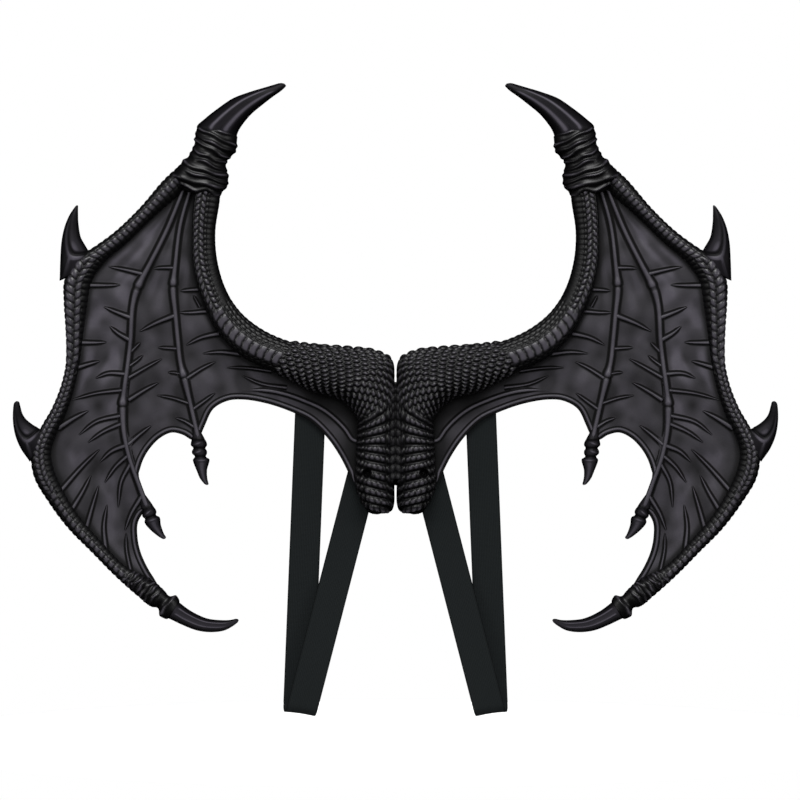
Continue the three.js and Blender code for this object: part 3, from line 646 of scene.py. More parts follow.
# Claws: horn at the wrist, tip, two spurs and the two on the ribs
# The base is the tone of the plain surface, and the tip is the length that is rounded off
clawShapes = {
    "thumb_claw": {
        "rings": 110, "front": 48, "back": 12, "base": 0.50, "tip": 2.4,
        "ridge": 0.9, "ridges": ((1.07, 0.27), (1.77, 0.20)),  # angle round the front and breadth
        "rows": [
            (135.5, 247, 167, 252, 12.5, 8.5), (133.5, 252.5, 168.5, 257.5, 13, 8.5),
            (129.5, 259, 161.5, 264.5, 12.5, 8.5), (122, 268, 150, 273.5, 11.5, 8),
            (112.5, 276, 138, 281.5, 10, 7.5), (103.5, 283, 123.5, 287, 7.5, 6),
            (96.5, 288, 110, 291, 4.5, 4), (92, 292.5, 96.5, 295, 1.2, 1.2),
        ]},
    "tip_claw": {
        "rings": 90, "front": 36, "back": 12, "base": 0.76, "tip": 1.0,
        "ridge": 0.6, "ridges": ((1.33, 0.17), (2.03, 0.17)),
        "rows": [
            (193.5, -159, 184, -145.5, 8, 6.5), (181.5, -165, 173, -153.5, 7.5, 6),
            (168.5, -170, 160, -159.5, 6.5, 5), (156, -171.5, 149, -161, 5, 4),
            (145, -170, 140.5, -161, 3.5, 3), (137.5, -166, 135, -160, 2, 2),
            (133, -162.5, 133, -160.5, 0.8, 0.8),
        ]},
    "upper_spur": {
        "rings": 110, "front": 44, "back": 12, "base": 0.50, "tip": 1.0, "lip": 0.9,
        "rows": [
            (284, 126.5, 254.5, 143, 7.5, 5), (283.5, 143, 261.5, 154.5, 7, 5),
            (282.5, 159, 266, 163, 6, 4.5), (280, 171.5, 268, 174, 4.5, 3.5),
            (276, 181.5, 268.5, 183, 3, 2.5), (270.5, 190, 268.5, 190.5, 0.8, 0.8),
        ]},
    "lower_spur": {
        "rings": 100, "front": 40, "back": 12, "base": 0.46, "tip": 2.1, "lip": 0.8,
        "rows": [
            (309, -26.5, 294.5, -1, 7, 5), (316.5, -15.5, 305.5, 4, 6, 4.5), (321, -4.5, 311, 8.5, 5, 4),
            (323, 7.5, 314.5, 13, 4, 3), (322.8, 19, 316.9, 20.6, 3, 2.4), (322, 24.2, 317.8, 24.9, 2, 1.6),
        ]},
    "rib_outer_claw": {
        "rings": 120, "front": 32, "back": 12, "base": 0.86, "tip": 1.3,
        "ridge": 0.15, "ridges": ((1.33, 0.17), (2.03, 0.17)),
        "knuckles": (15.0,), "collar": 22.1, "necks": (10.7, 18.6),  # distance along
        "rows": [
            (216.4, -57, 211.6, -55.2, 0.9, 1.8), (215.6, -66, 206.5, -62.2, 2, 2.6),
            (213.9, -68.6, 204.8, -65, 3.6, 3.1), (214.7, -71.3, 203.3, -67, 6.8, 4.2),
            (214.2, -73.6, 202.5, -69.3, 6.8, 4.2), (212.3, -75.4, 202.9, -71.9, 5.8, 3.7),
            (212.7, -77.6, 200.1, -73.6, 7, 4.4), (212, -79.6, 199.3, -75.6, 7, 4.4),
            (209.5, -82.8, 199, -79.4, 6, 4), (204.8, -87.2, 197.7, -84, 4.6, 3.2),
            (200.3, -90.6, 195.9, -88.4, 3, 2.3), (196.4, -92.9, 194, -91.2, 1.6, 1.5),
        ]},
    "rib_inner_claw": {
        "rings": 140, "front": 32, "back": 12, "base": 0.86, "tip": 1.5,
        "ridge": 0.15, "ridges": ((1.33, 0.17), (2.03, 0.17)),
        "knuckles": (13.9, 20.9), "collar": 28.5, "necks": (10.2, 17.5, 24.7),
        "rows": [
            (171.4, 1.5, 167, 2.5, 0.9, 1.8), (172.8, -7.6, 161.6, -7.6, 3.4, 3.2),
            (173.5, -10.5, 160.1, -10.5, 6.8, 4.1), (173.6, -12.8, 159.8, -12.8, 6.8, 4.1),
            (171.5, -15.3, 161.1, -15.4, 5.6, 3.5), (172.6, -17.6, 159.9, -17.6, 6.5, 4),
            (172.5, -19.8, 159.8, -19.8, 6.5, 4), (170.2, -22.5, 160.7, -22.5, 5.5, 3.5),
            (171.8, -25, 157.8, -24.7, 7, 4.3), (171.4, -27.4, 157.9, -27, 7, 4.4),
            (168.8, -34, 159.7, -33.5, 5.7, 3.9), (165.8, -41, 159.6, -40.5, 4, 3.1),
            (161.4, -46.6, 158.2, -46.6, 2, 1.8),
        ]},
}
clawForm = {
    "crest": 0.08, "boxy": 2.3, "shadedFlankShare": 0.06, "bulges": (1.0, 0.05), "onFront": (-0.7, 0.0),
    "ridgeLevel": 0.35, "ridgeStart": (0.02, 0.15), "highlightStart": (-0.02, 0.08), "highlightEnd": (1.0, 0.75),
}
spurForm = {  # shares of the length and of the half width
    "start": 0.20, "tilt": 0.07, "corner": -0.42, "edge": 0.028, "lipEnd": (0.9, 0.5),
    "side": -0.45, "sideEdge": 0.12, "drift": 0.12, "driftEnd": 0.6,
    "stem": 0.13, "stemSlant": 2.0, "stemEnd": (0.27, 0.22),
    "hollow": (0.8, 2.0), "swell": (2.0, 3.8),  # in from the lip, in its widths
    "hollowEnd": (0.85, 0.45), "swellEnd": (0.8, 0.3),
    "heights": (1.0, -0.8, 0.9), "tones": (0.75, -0.36, 0.8),  # of lip, hollow and swell; the tones are painted light on lip and swell and painted shade in the hollow
}
knuckleLight = {
    "off": -0.16, "ahead": 0.4, "slant": 2.0, "length": 1.5, "breadth": 0.7,
    "neck": 1.1, "neckShade": 0.9, "behind": 0.25, "behindEdge": (2.5, -1),  # darker behind the collar
}


# A raised lip round a hollow, a stem from the bone, and the swell in the middle
def spurLip(form, part, across):
    start, fromCorner = form["start"], across - form["corner"]
    fromBone = (part - start + form["tilt"] * fromCorner) / form["edge"]
    drift = form["drift"] * ease(part, start, form["driftEnd"])
    fromOuter = (across - form["side"] + drift) / form["sideEdge"]
    inward = -2 * np.log(np.exp(-0.5 * fromBone) + np.exp(-0.5 * fromOuter))  # rounds the lip's corner
    stemAway = fromCorner + form["stemSlant"] * (start - part)
    stem = np.exp(-(stemAway / form["stem"]) ** 2) * ease(part, *form["stemEnd"])
    lip = np.maximum(np.exp(-inward ** 2) * ease(part, *form["lipEnd"]), stem)
    hollow, swell = (ease(inward, *form[key]) * ease(part, *form[key + "End"]) for key in ("hollow", "swell"))
    return lip, hollow, swell


def knuckleTones(shape, look, s, across, mark):
    paintedHighlight = 0
    off = across - look["off"]
    for at in shape["knuckles"]:  # a painted highlight slanting across each knuckle
        slanted = (s - at + look["ahead"] + look["slant"] * off) / look["length"]
        paintedHighlight = np.maximum(paintedHighlight, np.exp(-slanted ** 2 - (off / look["breadth"]) ** 2))
    at = shape["collar"]
    mark = mark * (1 - look["behind"] * ease(s, *(at + edge for edge in look["behindEdge"])))
    # painted highlight on the collar ring
    mark = np.maximum(mark, np.exp(-((s - at + look["ahead"]) / look["length"]) ** 2))
    # painted shade in the necks between the rings
    for at in shape["necks"]:
        groove = 1 - look["neckShade"] * np.exp(-((s - at) / look["neck"]) ** 2)
        mark, paintedHighlight = mark * groove, paintedHighlight * groove
    return mark, paintedHighlight


def buildClaw(node, shape):
    bone = boneSurface(shape, clawForm["crest"], clawForm["boxy"])
    s, part, across, toFront = bone["along"], bone["part"], bone["across"], bone["toFront"]
    front = toFront > 0
    mark = np.full(bone["q"].shape, shape["base"])
    paintedHighlight = 0
    if "lip" in shape:
        forms = [form * front for form in spurLip(spurForm, part, across)]
        height = shape["lip"] * sum(tall * form for tall, form in zip(spurForm["heights"], forms))
        # painted light on the lip and swell, painted shade in the hollow
        mark = mark + sum(tone * form for tone, form in zip(spurForm["tones"], forms))
    else:
        ridge = sum(np.exp(-((bone["angle"] - at) / wide) ** 2) for at, wide in shape["ridges"])
        fade = ease(part, *clawForm["ridgeStart"]) * (1 - part) ** 0.8
        height = shape["ridge"] * (ridge - clawForm["ridgeLevel"]) * fade * (toFront > -0.2)
    if "collar" in shape:
        mark, paintedHighlight = knuckleTones(shape, knuckleLight, s, across, mark)
    elif "ridge" in shape:
        # painted highlights along the ridges
        paintedHighlight = np.clip(ridge, 0, 1)
        for key in ("highlightStart", "highlightEnd"):
            paintedHighlight = paintedHighlight * ease(part, *clawForm[key])
    # painted shade on the flanks
    tone = shaded(np.clip(mark, 0, 1), np.clip(toFront, 0, 1) ** 2.2, clawForm["shadedFlankShare"])
    relief = mix(backTone, np.maximum(tone, paintedHighlight * front), ease(toFront, *clawForm["onFront"]))
    points = lifted(bone, height)
    past = np.clip((s - s[-1] + shape["tip"]) / shape["tip"], 0, 1)  # rounds the tip off
    middle = points.mean(axis=1, keepdims=True)
    points = middle + (points - middle) * np.sqrt(1 - 0.97 * past ** 2)[..., None]
    return buildSleeve(pieceName(node), points, {"relief": relief}, clawForm["bulges"])


for clawName, clawShape in clawShapes.items():
    keepPiece(buildClaw(clawName, clawShape), clawName, "claw", "clawFoam")
print("claws modelled")


# Membrane: one sheet in three panels between arm, ribs and finger
ribShapes = {
    "rib_inner": {"knuckles": (88, 166), "spine": [  # out, up, width
        (172.5, 208.5, 3.5), (182.5, 173.5, 4), (186.5, 141, 4.5), (188.5, 120.5, 6.5), (186.5, 98, 5),
        (184.5, 76, 5), (182.5, 58, 5), (179, 44, 7), (174.5, 25, 5), (170.5, 7.5, 5), (167, -7.5, 6),
    ]},
    "rib_outer": {"knuckles": (97, 198), "spine": [
        (178, 208.5, 3.5), (193, 171.5, 4.5), (208, 141, 5), (218.5, 120.5, 7), (222.5, 106, 5.5),
        (224.5, 76, 5), (226.5, 58, 5), (230, 31.5, 5.5), (231, 20.5, 7.5), (230, -1, 5.5), (225.5, -23, 5),
        (218, -44.5, 5), (211, -64.5, 6),
    ]},
}
ribStrip = {
    "rings": 190, "border": 2.4, "slim": 0.8, "tall": 0.5, "tone": 0.95,
    "swell": (-3.0, 3.2, 1.0, 0.30, 0.1),  # at each knuckle: place, length, gain in width, height and tone; the tone gain is a painted highlight
    "notch": (0.6, 0.9, 1.2, 0.55, 0.85),  # place, length, loss in width, height and tone
    "clear": (2.0, 0.55),  # what lies this near the spine is dark, and then over a share of the border
}
edgeInner = [
    (35.5, -44), (46.5, -22), (57.5, -6), (72.5, 8.5), (88, 16), (108.5, 23), (129, 26.5), (142.5, 25.5),
    (155, 18.5), (162, 5), (167, -7.5),
]
edgeMiddle = [
    (167, -7.5), (172, -8), (180, -3.5), (190, -1.5), (200, -6), (208.5, -14.5), (214.5, -24.5),
    (219.5, -41),
]
edgeOuter = [(211, -64.5), (219, -78), (219.5, -91), (217, -103.5), (210.5, -118), (202, -131)]
veinTable = [  # free tip out, up, middle out, up, root out, up, width at the root
    (243, 138.5, 228, 135.5, 213.5, 132, 3.9), (233, 123, 244.5, 122.5, 257.5, 122.5, 3.5),
    (247, 104.5, 235.5, 99.5, 223.5, 95, 4.5), (242, 88, 235, 82, 226.5, 77, 4.2),
    (244.5, 74.5, 254, 74, 265, 74, 3.6), (205, 137, 197.5, 137.5, 189, 137.5, 2.6),
    (217, 83.5, 203.5, 90.5, 188.5, 96.5, 4.3), (182.5, 118, 176, 118.5, 168.5, 119, 2.9),
    (183.5, 99.5, 173.5, 99.5, 161.5, 100.5, 2.9), (177.5, 72, 165.5, 78, 151, 81.5, 3.6),
    (171.5, 114.5, 169, 110, 166.5, 105.5, 1.2), (250.5, 58.5, 259, 56, 268.5, 53, 3.7),
    (254, 44, 243.5, 48, 229.5, 47.5, 3.5), (274.5, 25.5, 253.5, 31, 233, 33.5, 2.7),
    (260, 16.5, 272, 10, 284.5, 2, 4.9), (268, -4, 253.5, 7, 233.5, 12, 3.3),
    (260.5, -10.5, 247.5, -1.5, 230.5, 6, 3.5), (250.5, -27, 240.5, -18, 228, -13, 4.3),
    (246.5, -44.5, 237.5, -31.5, 226.5, -21.5, 3.3), (235, -65.5, 232.5, -44, 225, -29.5, 3.3),
    (250.5, -16, 265.5, -31, 282, -50, 3.9), (258, -38, 264.5, -51.5, 273, -66, 3.9),
    (198, 60.5, 210.5, 53.5, 225, 45, 2.9), (200.5, 40.5, 212.5, 34, 225, 26, 3.7),
    (214, 63.5, 219, 59, 224.5, 55, 2.1), (216, 74.5, 219.5, 71, 224, 66.5, 2.1),
    (201.5, 70, 194, 69.5, 185.5, 69, 2.3), (193, 49, 187.5, 48.5, 181.5, 47.5, 1.6),
    (202.5, 29.5, 189, 27, 175, 22.5, 2.1), (187, 10.5, 179, 7.5, 171.5, 3, 2.9),
    (207, 4, 216.5, -3.5, 225.5, -11.5, 3.5), (153, 31.5, 161.5, 25, 172, 17.5, 2.9),
    (163.5, 65, 148.5, 66, 132.5, 64.5, 3.3), (143, 53, 125.5, 52.5, 106, 50, 1.7),
    (152.5, 58, 163.5, 52.5, 176, 44.5, 3), (130, 46, 113.5, 39, 93.5, 36, 2.4),
    (251.5, -47, 256.5, -64, 261.5, -82, 3.7), (244.5, -63, 247, -81.5, 245.5, -99.5, 3.7),
    (229.5, -85, 224, -71, 215.4, -57, 4.1), (228.5, -87, 228, -101.5, 224.5, -118.5, 2.4),
]
veinStrip = {
    "rings": 24, "slim": 0.40, "point": (0.06, 0.75),  # share of the width at the tip, and how it widens
    "tall": (0.9, 0.15), "border": 2.1, "borderTip": (0.4, 0.3), "tone": 0.92,
    "under": 1.2,  # how far the root runs under the rib or bone
}
innerWelt = [
    (130, 33.5), (117, 34), (105, 33), (92, 30), (78, 25), (63.5, 18.5), (53, 11), (43, 1), (36.5, -8),
    (33, -9.5),
]
weltStrip = {"rings": 90, "half": (0.2, 1.1), "border": (0.4, 1.6)}  # at the tip, and what it gains
membraneShape = {
    "thick": 2.2, "sag": 5.0, "rows": 86, "lastRows": 13,
    "innerColumns": 120, "middleColumns": 34, "outerColumns": 48,
    "armSeat": 0.65, "fingerSeat": 0.45,  # how far under the bones it runs, from rim to web
    "middleEnd": 0.885,  # the middle panel ends higher on the outer rib
    # painted light: each panel has its own brightness, the outer one lightest
    "tones": {"Inner": 0.84, "Middle": 0.82, "Outer": 1.08},
    "wrist": (176, 206), "seed": 11,
    "foldDepth": 0.7, "folds": (18, 46), "foldStart": (20, 120), "buckleDepth": 0.22, "buckles": (26, 60),
    "ribDip": (0.8, 7.0), "veinDip": (0.45, 1.5),  # depth, reach, for a vein past its width
    "ribShade": (0.16, 6.5), "veinShade": (0.08, 1.5), "boneShade": (0.75, 3.2),  # depth of the painted shade, reach
    "tipShade": (0.07, 4.2, 1.4), "hubShade": (0.78, 15.0, 100, 58),  # and how far past the tip, from and to
    "patches": (18, 46), "patchBends": (9, 16), "streaks": (16, 62), "streakBends": (20, 34),
    "streakBreaks": (9, 22), "cloudLevel": 3.2, "cloudShare": 0.22,
    "outerShade": (0.16, 60, -20), "lightness": 0.98,  # painted shade: the outer panel darkens downwards
    "backTone": 0.55, "backShare": 0.25, "backTurn": (0.2, 0.6),  # the back is plainer
}
turn = 6.283


def distanceToLine(spots, line):
    best = np.full(len(spots), 1e9)
    for a, b in zip(line[:-1], line[1:]):
        way = b - a
        t = np.clip(((spots - a) @ way) / max(way @ way, tiny), 0, 1)
        best = np.minimum(best, np.linalg.norm(spots - a - t[:, None] * way, axis=1))
    return best


def ribSpine(node):
    return np.array(ribShapes[node]["spine"])[:, :2]


def membranePanels(shape):
    ribIn, ribOut = ribSpine("rib_inner"), ribSpine("rib_outer")
    armRows, fingerRows = np.array(armShape["rows"])[3:19], np.array(fingerShape["rows"])
    armLine = np.vstack([mix(armRows[:, 0:2], armRows[:, 2:4], shape["armSeat"]), ribIn[:1]])
    fingerLine = mix(fingerRows[:, 0:2], fingerRows[:, 2:4], shape["fingerSeat"])
    short = shape["middleEnd"]
    rows = np.linspace(0, 1, shape["rows"] + 1)
    outerRows = np.concatenate([rows * short, np.linspace(short, 1, shape["lastRows"] + 1)[1:]])

    def between(sideA, sideB, edge, along, across, pull):
        bend = curveThrough(edge, across) - mix(sideA[-1], sideB[-1], across[:, None])
        flat = mix(sideA[:, None], sideB[:, None], across[None, :, None])
        return flat + (along ** 3)[:, None, None] * (bend * pull[:, None])[None]

    toInner, toMiddle, toOuter = (np.linspace(0, 1, shape[key] + 1)
                                  for key in ("innerColumns", "middleColumns", "outerColumns"))
    ends = (curveThrough(line, toInner)[None] for line in (armLine, edgeInner))
    inner = mix(*ends, rows[:, None, None])
    bow = curveThrough(ribIn, rows) - mix(ribIn[0], ribIn[-1], rows[:, None])
    inner = inner + (toInner ** 4)[None, :, None] * bow[:, None]
    middle = between(curveThrough(ribIn, rows), curveThrough(ribOut, rows * short), edgeMiddle,
                     rows, toMiddle, np.ones(len(toMiddle)))
    outer = between(curveThrough(ribOut, outerRows), curveThrough(fingerLine, outerRows), edgeOuter,
                    outerRows, toOuter, 1 - toOuter ** 6)  # the outer edge ends on the finger
    panels = ((inner, toInner, rows), (middle, toMiddle, rows), (outer, toOuter, outerRows))
    for panel, across, _ in panels:
        for line in panel:  # columns evenly spaced along each row
            run = runAlong(line)
            line[:] = np.column_stack([np.interp(across * run[-1], run, line[:, k]) for k in (0, 1)])
    return panels


def anyWay(dice):
    return dice.uniform(0, 6.3)


def fromWrist(shape, spots):  # angle and distance
    away = spots - np.array(shape["wrist"])
    return np.arctan2(away[:, 1], away[:, 0]), np.linalg.norm(away, axis=1)


def membraneWaves(shape, spots):
    dice = np.random.default_rng(shape["seed"])
    angle, far = fromWrist(shape, spots)
    wave = np.zeros(len(spots))
    for _ in range(4):  # folds that fan out from the wrist
        wave += np.sin(angle * dice.uniform(*shape["folds"]) + far * dice.uniform(-0.01, 0.01) + anyWay(dice))
    wave *= shape["foldDepth"] / 4 * ease(far, *shape["foldStart"])
    for _ in range(6):  # slow uneven buckling
        way = anyWay(dice)
        size = dice.uniform(*shape["buckles"])
        along = spots @ np.array([math.cos(way), math.sin(way)])
        wave += shape["buckleDepth"] * np.sin(along * turn / size + anyWay(dice))
    return wave


def membraneClouds(shape, spots):
    dice = np.random.default_rng(shape["seed"] + 1)
    cloud = np.zeros(len(spots))
    for _ in range(7):  # painted light and shade in soft patches
        way = anyWay(dice)
        along = spots @ np.array([math.cos(way), math.sin(way)])
        across = spots @ np.array([-math.sin(way), math.cos(way)])
        bent = along + 6 * np.sin(across / dice.uniform(*shape["patchBends"]))
        cloud += np.sin(bent * turn / dice.uniform(*shape["patches"]) + anyWay(dice))
    angle, far = fromWrist(shape, spots)
    for _ in range(7):  # painted light and shade in streaks that fan out from the wrist
        bent = angle * dice.uniform(*shape["streaks"])
        bent = bent + 2.0 * np.sin(far / dice.uniform(*shape["streakBends"]) + anyWay(dice))
        broken = np.sin(far / dice.uniform(*shape["streakBreaks"]) + anyWay(dice))
        cloud += 1.1 * np.sin(bent) * (0.5 + 0.5 * broken)
    return np.clip(cloud / shape["cloudLevel"], -1, 1)


veinLines = [curveThrough(np.reshape(row[:6], (3, 2)), np.linspace(0, 1, 9)) for row in veinTable]


def membraneMarks(shape, spots):
    # dark is painted shade beside the ribs, veins and bones
    dip, dark = np.zeros(len(spots)), np.zeros(len(spots))

    def add(whole, away, size, reach):  # soft union, so that no crease is left between two of them
        spot = size * np.exp(-(away / reach) ** 2)
        return whole + spot - whole * spot

    for node in ribShapes:
        away = distanceToLine(spots, curveThrough(ribSpine(node), np.linspace(0, 1, 60)))
        dip = add(dip, away, *shape["ribDip"])
        dark = add(dark, away, *shape["ribShade"])
    for line, row in zip(veinLines, veinTable):
        away, width = distanceToLine(spots, line), row[6]
        (deep, dipReach), (shade, shadeReach) = shape["veinDip"], shape["veinShade"]
        dip = add(dip, away, deep, width + dipReach)
        dark = add(dark, away, shade, width + shadeReach)
        shade, reach, far = shape["tipShade"]
        past = line[0] + far * (line[0] - line[2])  # painted shade of a dimple past the free tip
        dark = add(dark, np.linalg.norm(spots - past, axis=1), shade * width, reach)
    for bone in (armShape, fingerShape):  # painted shade where the sheet runs under the bones
        away = distanceToLine(spots, curveThrough(np.array(bone["rows"])[:, 2:4], np.linspace(0, 1, 120)))
        dark = add(dark, away, *shape["boneShade"])
        if bone is armShape:  # painted shade, deeper towards the hub
            shade, reach, start, end = shape["hubShade"]
            dark = add(dark, away, shade * ease(spots[:, 0], start, end), reach)
    return dip, 1 - dark


def buildMembrane(shape):
    panels = []
    front = {"corners": [], "faces": [], "tones": []}
    for label, (flat, across, rows) in zip(("Inner", "Middle", "Outer"), membranePanels(shape)):
        spots = flat.reshape(-1, 2)
        dip, light = membraneMarks(shape, spots)
        sag = shape["sag"] * 4 * (across * (1 - across))[None, :] * rows[:, None]
        depth = wingPlane + sag.ravel() + dip + membraneWaves(shape, spots)
        points = leanBack(np.column_stack([spots[:, 0], depth, spots[:, 1]]))
        # painted light per panel, and painted shade lower on the outer panel
        shade, start, end = shape["outerShade"]
        tone = shape["tones"][label] - shade * ease(spots[:, 1], start, end) * (label == "Outer")
        share = shape["cloudShare"]
        light = light * tone * (1 - share + share * membraneClouds(shape, spots))
        light = np.clip(shape["lightness"] * light, 0, 1)
        panel = layGrid("panel" + label, points.reshape(*flat.shape[:2], 3), {"relief": light})
        first = len(front["corners"])
        front["corners"] += [Vector(p) for p in points - (0, shape["thick"] / 2, 0)]
        front["faces"] += [[first + k for k in face.vertices] for face in panel.data.polygons]
        front["tones"] += light.tolist()
        panels.append(panel)
    sheet = joinPieces("rightMembrane", panels)
    weldAll(2e-6)  # along the ribs
    wall = sheet.modifiers.new("wall", "SOLIDIFY")
    wall.thickness = shape["thick"] * mm
    wall.offset = 0
    bpy.ops.object.modifier_apply(modifier=wall.name)
    bpy.ops.object.shade_smooth()
    facing = np.empty(len(sheet.data.vertices) * 3, np.float32)
    sheet.data.vertices.foreach_get("normal", facing)
    tones = np.empty(len(sheet.data.vertices), np.float32)
    mark = sheet.data.attributes["relief"]
    mark.data.foreach_get("value", tones)
    plain = shape["backTone"] + shape["backShare"] * (tones - shape["backTone"])
    tones = mix(tones, plain, ease(facing[1::3], *shape["backTurn"]))
    mark.data.foreach_set("value", tones.astype(np.float32))
    return sheet, BVHTree.FromPolygons(front["corners"], front["faces"]), front


membranePiece, membraneFace, membraneSheet = buildMembrane(membraneShape)
keepPiece(membranePiece, "membrane", "membrane", "membraneFoam")
print("membrane modelled")


# Ribs, veins and hems lie on the sheet
def sheetAt(spot, before=-200):  # depth and tone, seen straight on
    hit, _, face, _ = membraneFace.ray_cast(Vector((spot[0], before, spot[1])), Vector((0, 1, 0)))
    if hit is None:
        return None
    corners = membraneSheet["faces"][face]
    near = [1 / ((hit - membraneSheet["corners"][k]).length_squared + 0.02) for k in corners]
    return hit.y, sum(w * membraneSheet["tones"][k] for w, k in zip(near, corners)) / sum(near)


ribLines = [curveThrough(ribSpine(node), np.linspace(0, 1, 40)) for node in ribShapes]


def ribShade(spots):  # dark beside the ribs: their dark border line and painted shade
    clear, share = ribStrip["clear"]
    shade = np.ones(len(spots))
    for line in ribLines:
        away = distanceToLine(spots, line)
        shade = shade * ease(away, clear + share * ribStrip["border"], clear + ribStrip["border"])
    return shade


def sheetUnder(line):  # depth and tone under a line, carried on past the edge of the sheet
    found = [sheetAt(spot) for spot in line]
    known = [k for k, hit in enumerate(found) if hit]
    lean = sweepAt(line[:, 0])
    depth = np.array([found[k][0] for k in known]) - lean[known]
    tone = np.array([found[k][1] for k in known])
    steps = np.arange(len(line))
    return np.interp(steps, known, depth) + lean, np.interp(steps, known, tone) * ribShade(line)


def sideOf(line):  # unit steps to the left of a flat line
    tangent = np.gradient(line, axis=0)
    tangent /= np.maximum(np.linalg.norm(tangent, axis=1, keepdims=True), tiny)
    return np.column_stack([-tangent[:, 1], tangent[:, 0]])


# The dark borders stand for the dark line along the foot of each strip and for painted shade in the groove
# beside it
stripHalf = (  # across in half widths, across in dark borders, height, tone, share of the sheet's tone
    (-1.0, -1.3, -0.14, 0.0, 1.0), (-1.0, -1.15, -0.04, 0.0, 1.0), (-1.0, -1.0, 0.06, 0.0, 1.0),
    (-1.0, -0.8, 0.09, 0.0, 0.6), (-1.0, -0.6, 0.09, 0.0, 0.0), (-1.0, -0.04, 0.07, 0.0, 0.0),
    (-0.86, 0.0, 0.55, 0.5, 0.0), (-0.5, 0.0, 0.92, 0.92, 0.0),
)
stripSection = (
    *stripHalf, (0.0, 0.0, 1.0, 1.0, 0.0), *((-wide, -past, *rest) for wide, past, *rest in stripHalf[::-1]),
    (0.9, 0.5, -1.0, 0.2, 0.0), (-0.9, -0.5, -1.0, 0.2, 0.0),
)


def raisedStrip(name, line, halfWidth, height, border, tone, blend):
    side = sideOf(line)
    blur = np.ones(7) / 7
    room = {}
    for way in (-1, 1):  # the border stops at the edge of the sheet
        reach = np.zeros(len(line))
        for past in np.linspace(0.1, 1, 7):
            spots = line + side * (way * (halfWidth + past * border))[:, None]
            reach = np.where([sheetAt(spot) is not None for spot in spots], past, reach)
        room[way] = np.convolve(np.pad(reach, len(blur) // 2, mode="edge"), blur, "valid") * border
    points = np.empty((len(line), len(stripSection), 3))
    relief = np.empty(points.shape[:2])
    for k, (wide, past, tall, shade, share) in enumerate(stripSection):
        spots = line + side * (wide * halfWidth + past * room[1 if past > 0 else -1])[:, None]
        depth, sheetTone = sheetUnder(spots)
        raised = tall * height if tall > 0.1 else tall
        points[:, k] = np.column_stack([spots[:, 0], depth - raised, spots[:, 1]])
        relief[:, k] = mix(sheetTone, shade * tone + share * sheetTone, blend)
    return buildSleeve(name, points, {"relief": relief}, (0.2, 0.2), 3)


def buildRib(node, shape, strip):
    spine = np.array(shape["spine"], float)
    t, along = evenlyAlong(spine[:, :2], strip["rings"])
    line = curveThrough(spine[:, :2], t)
    width = curveThrough(spine[:, [2, 2]], t)[:, 0] * strip["slim"]
    tone = np.full(len(along), strip["tone"])
    height = strip["tall"] * width
    for knuckle in shape["knuckles"]:
        at, length, wide, tall, light = strip["swell"]
        swell = np.exp(-((along - knuckle - at) / length) ** 2)
        at, length, narrow, low, dark = strip["notch"]
        notch = np.exp(-((along - knuckle - at) / length) ** 2)
        width = width + wide * swell - narrow * notch
        height = height * (1 + tall * swell) * (1 - low * notch)
        tone = tone * (1 - dark * notch) + light * swell
    border = np.full(len(along), strip["border"])
    return raisedStrip(pieceName(node), line, width / 2, height, border, tone, np.ones(len(along)))


for ribName, ribShape in ribShapes.items():
    keepPiece(buildRib(ribName, ribShape, ribStrip), ribName, "skin", "membraneFoam")


def buildVeins(strip, welt):
    veins = []
    part = np.linspace(0, 1, strip["rings"])
    (least, widening), (share, lift), (thin, thinEnd) = strip["point"], strip["tall"], strip["borderTip"]
    for k, row in enumerate(veinTable):
        tip, middle, root = np.reshape(row[:6], (3, 2))
        root = root + strip["under"] * (root - middle) / np.linalg.norm(root - middle)
        line = curveThrough([tip, middle, root], part)
        half = row[6] * strip["slim"] * mix(least, 1, part ** widening)
        border = strip["border"] * mix(thin, 1, ease(part, 0, thinEnd))
        tone = np.full(len(part), strip["tone"])
        blend = ease(part, -0.02, 0.04)
        veins.append(raisedStrip("vein%d" % k, line, half, share * half + lift, border, tone, blend))
    t, _ = evenlyAlong(innerWelt, welt["rings"])
    part = np.linspace(0, 1, len(t))
    half, border = (tip + gain * ease(part, 0, 0.2) for tip, gain in (welt["half"], welt["border"]))
    veins.append(raisedStrip("innerWelt", curveThrough(innerWelt, t), half, share * half, border,
                             np.ones(len(t)), ease(part, -0.02, 0.15)))
    return joinPieces("rightVeins", veins)


keepPiece(buildVeins(veinStrip, weltStrip), None, "membrane", "membraneFoam")

hemShape = {
    "steps": 120, "seat": 0.8, "taper": 9, "ends": 0.3,
    "section": (  # inward from the edge, height on the sheet, tone
        (-0.7, -1.1, 0.02), (-0.6, -0.4, 0.02), (-0.2, 0.1, 0.02), (0.5, 0.2, 0.03), (1.2, 0.2, 0.03),
        (1.5, 0.6, 0.5), (2.0, 0.95, 0.95), (2.5, 1.05, 1.0), (3.0, 0.95, 0.95), (3.5, 0.6, 0.5),
        (3.8, 0.14, 0.03), (4.4, 0.12, 0.02), (4.9, 0.1, 0.03), (5.2, -0.1, 0.3), (4.9, -0.6, 0.3),
        (3.0, -2.6, 0.4), (1.5, -2.9, 0.5), (0.3, -2.6, 0.4), (-0.4, -1.9, 0.1),
    ),
}


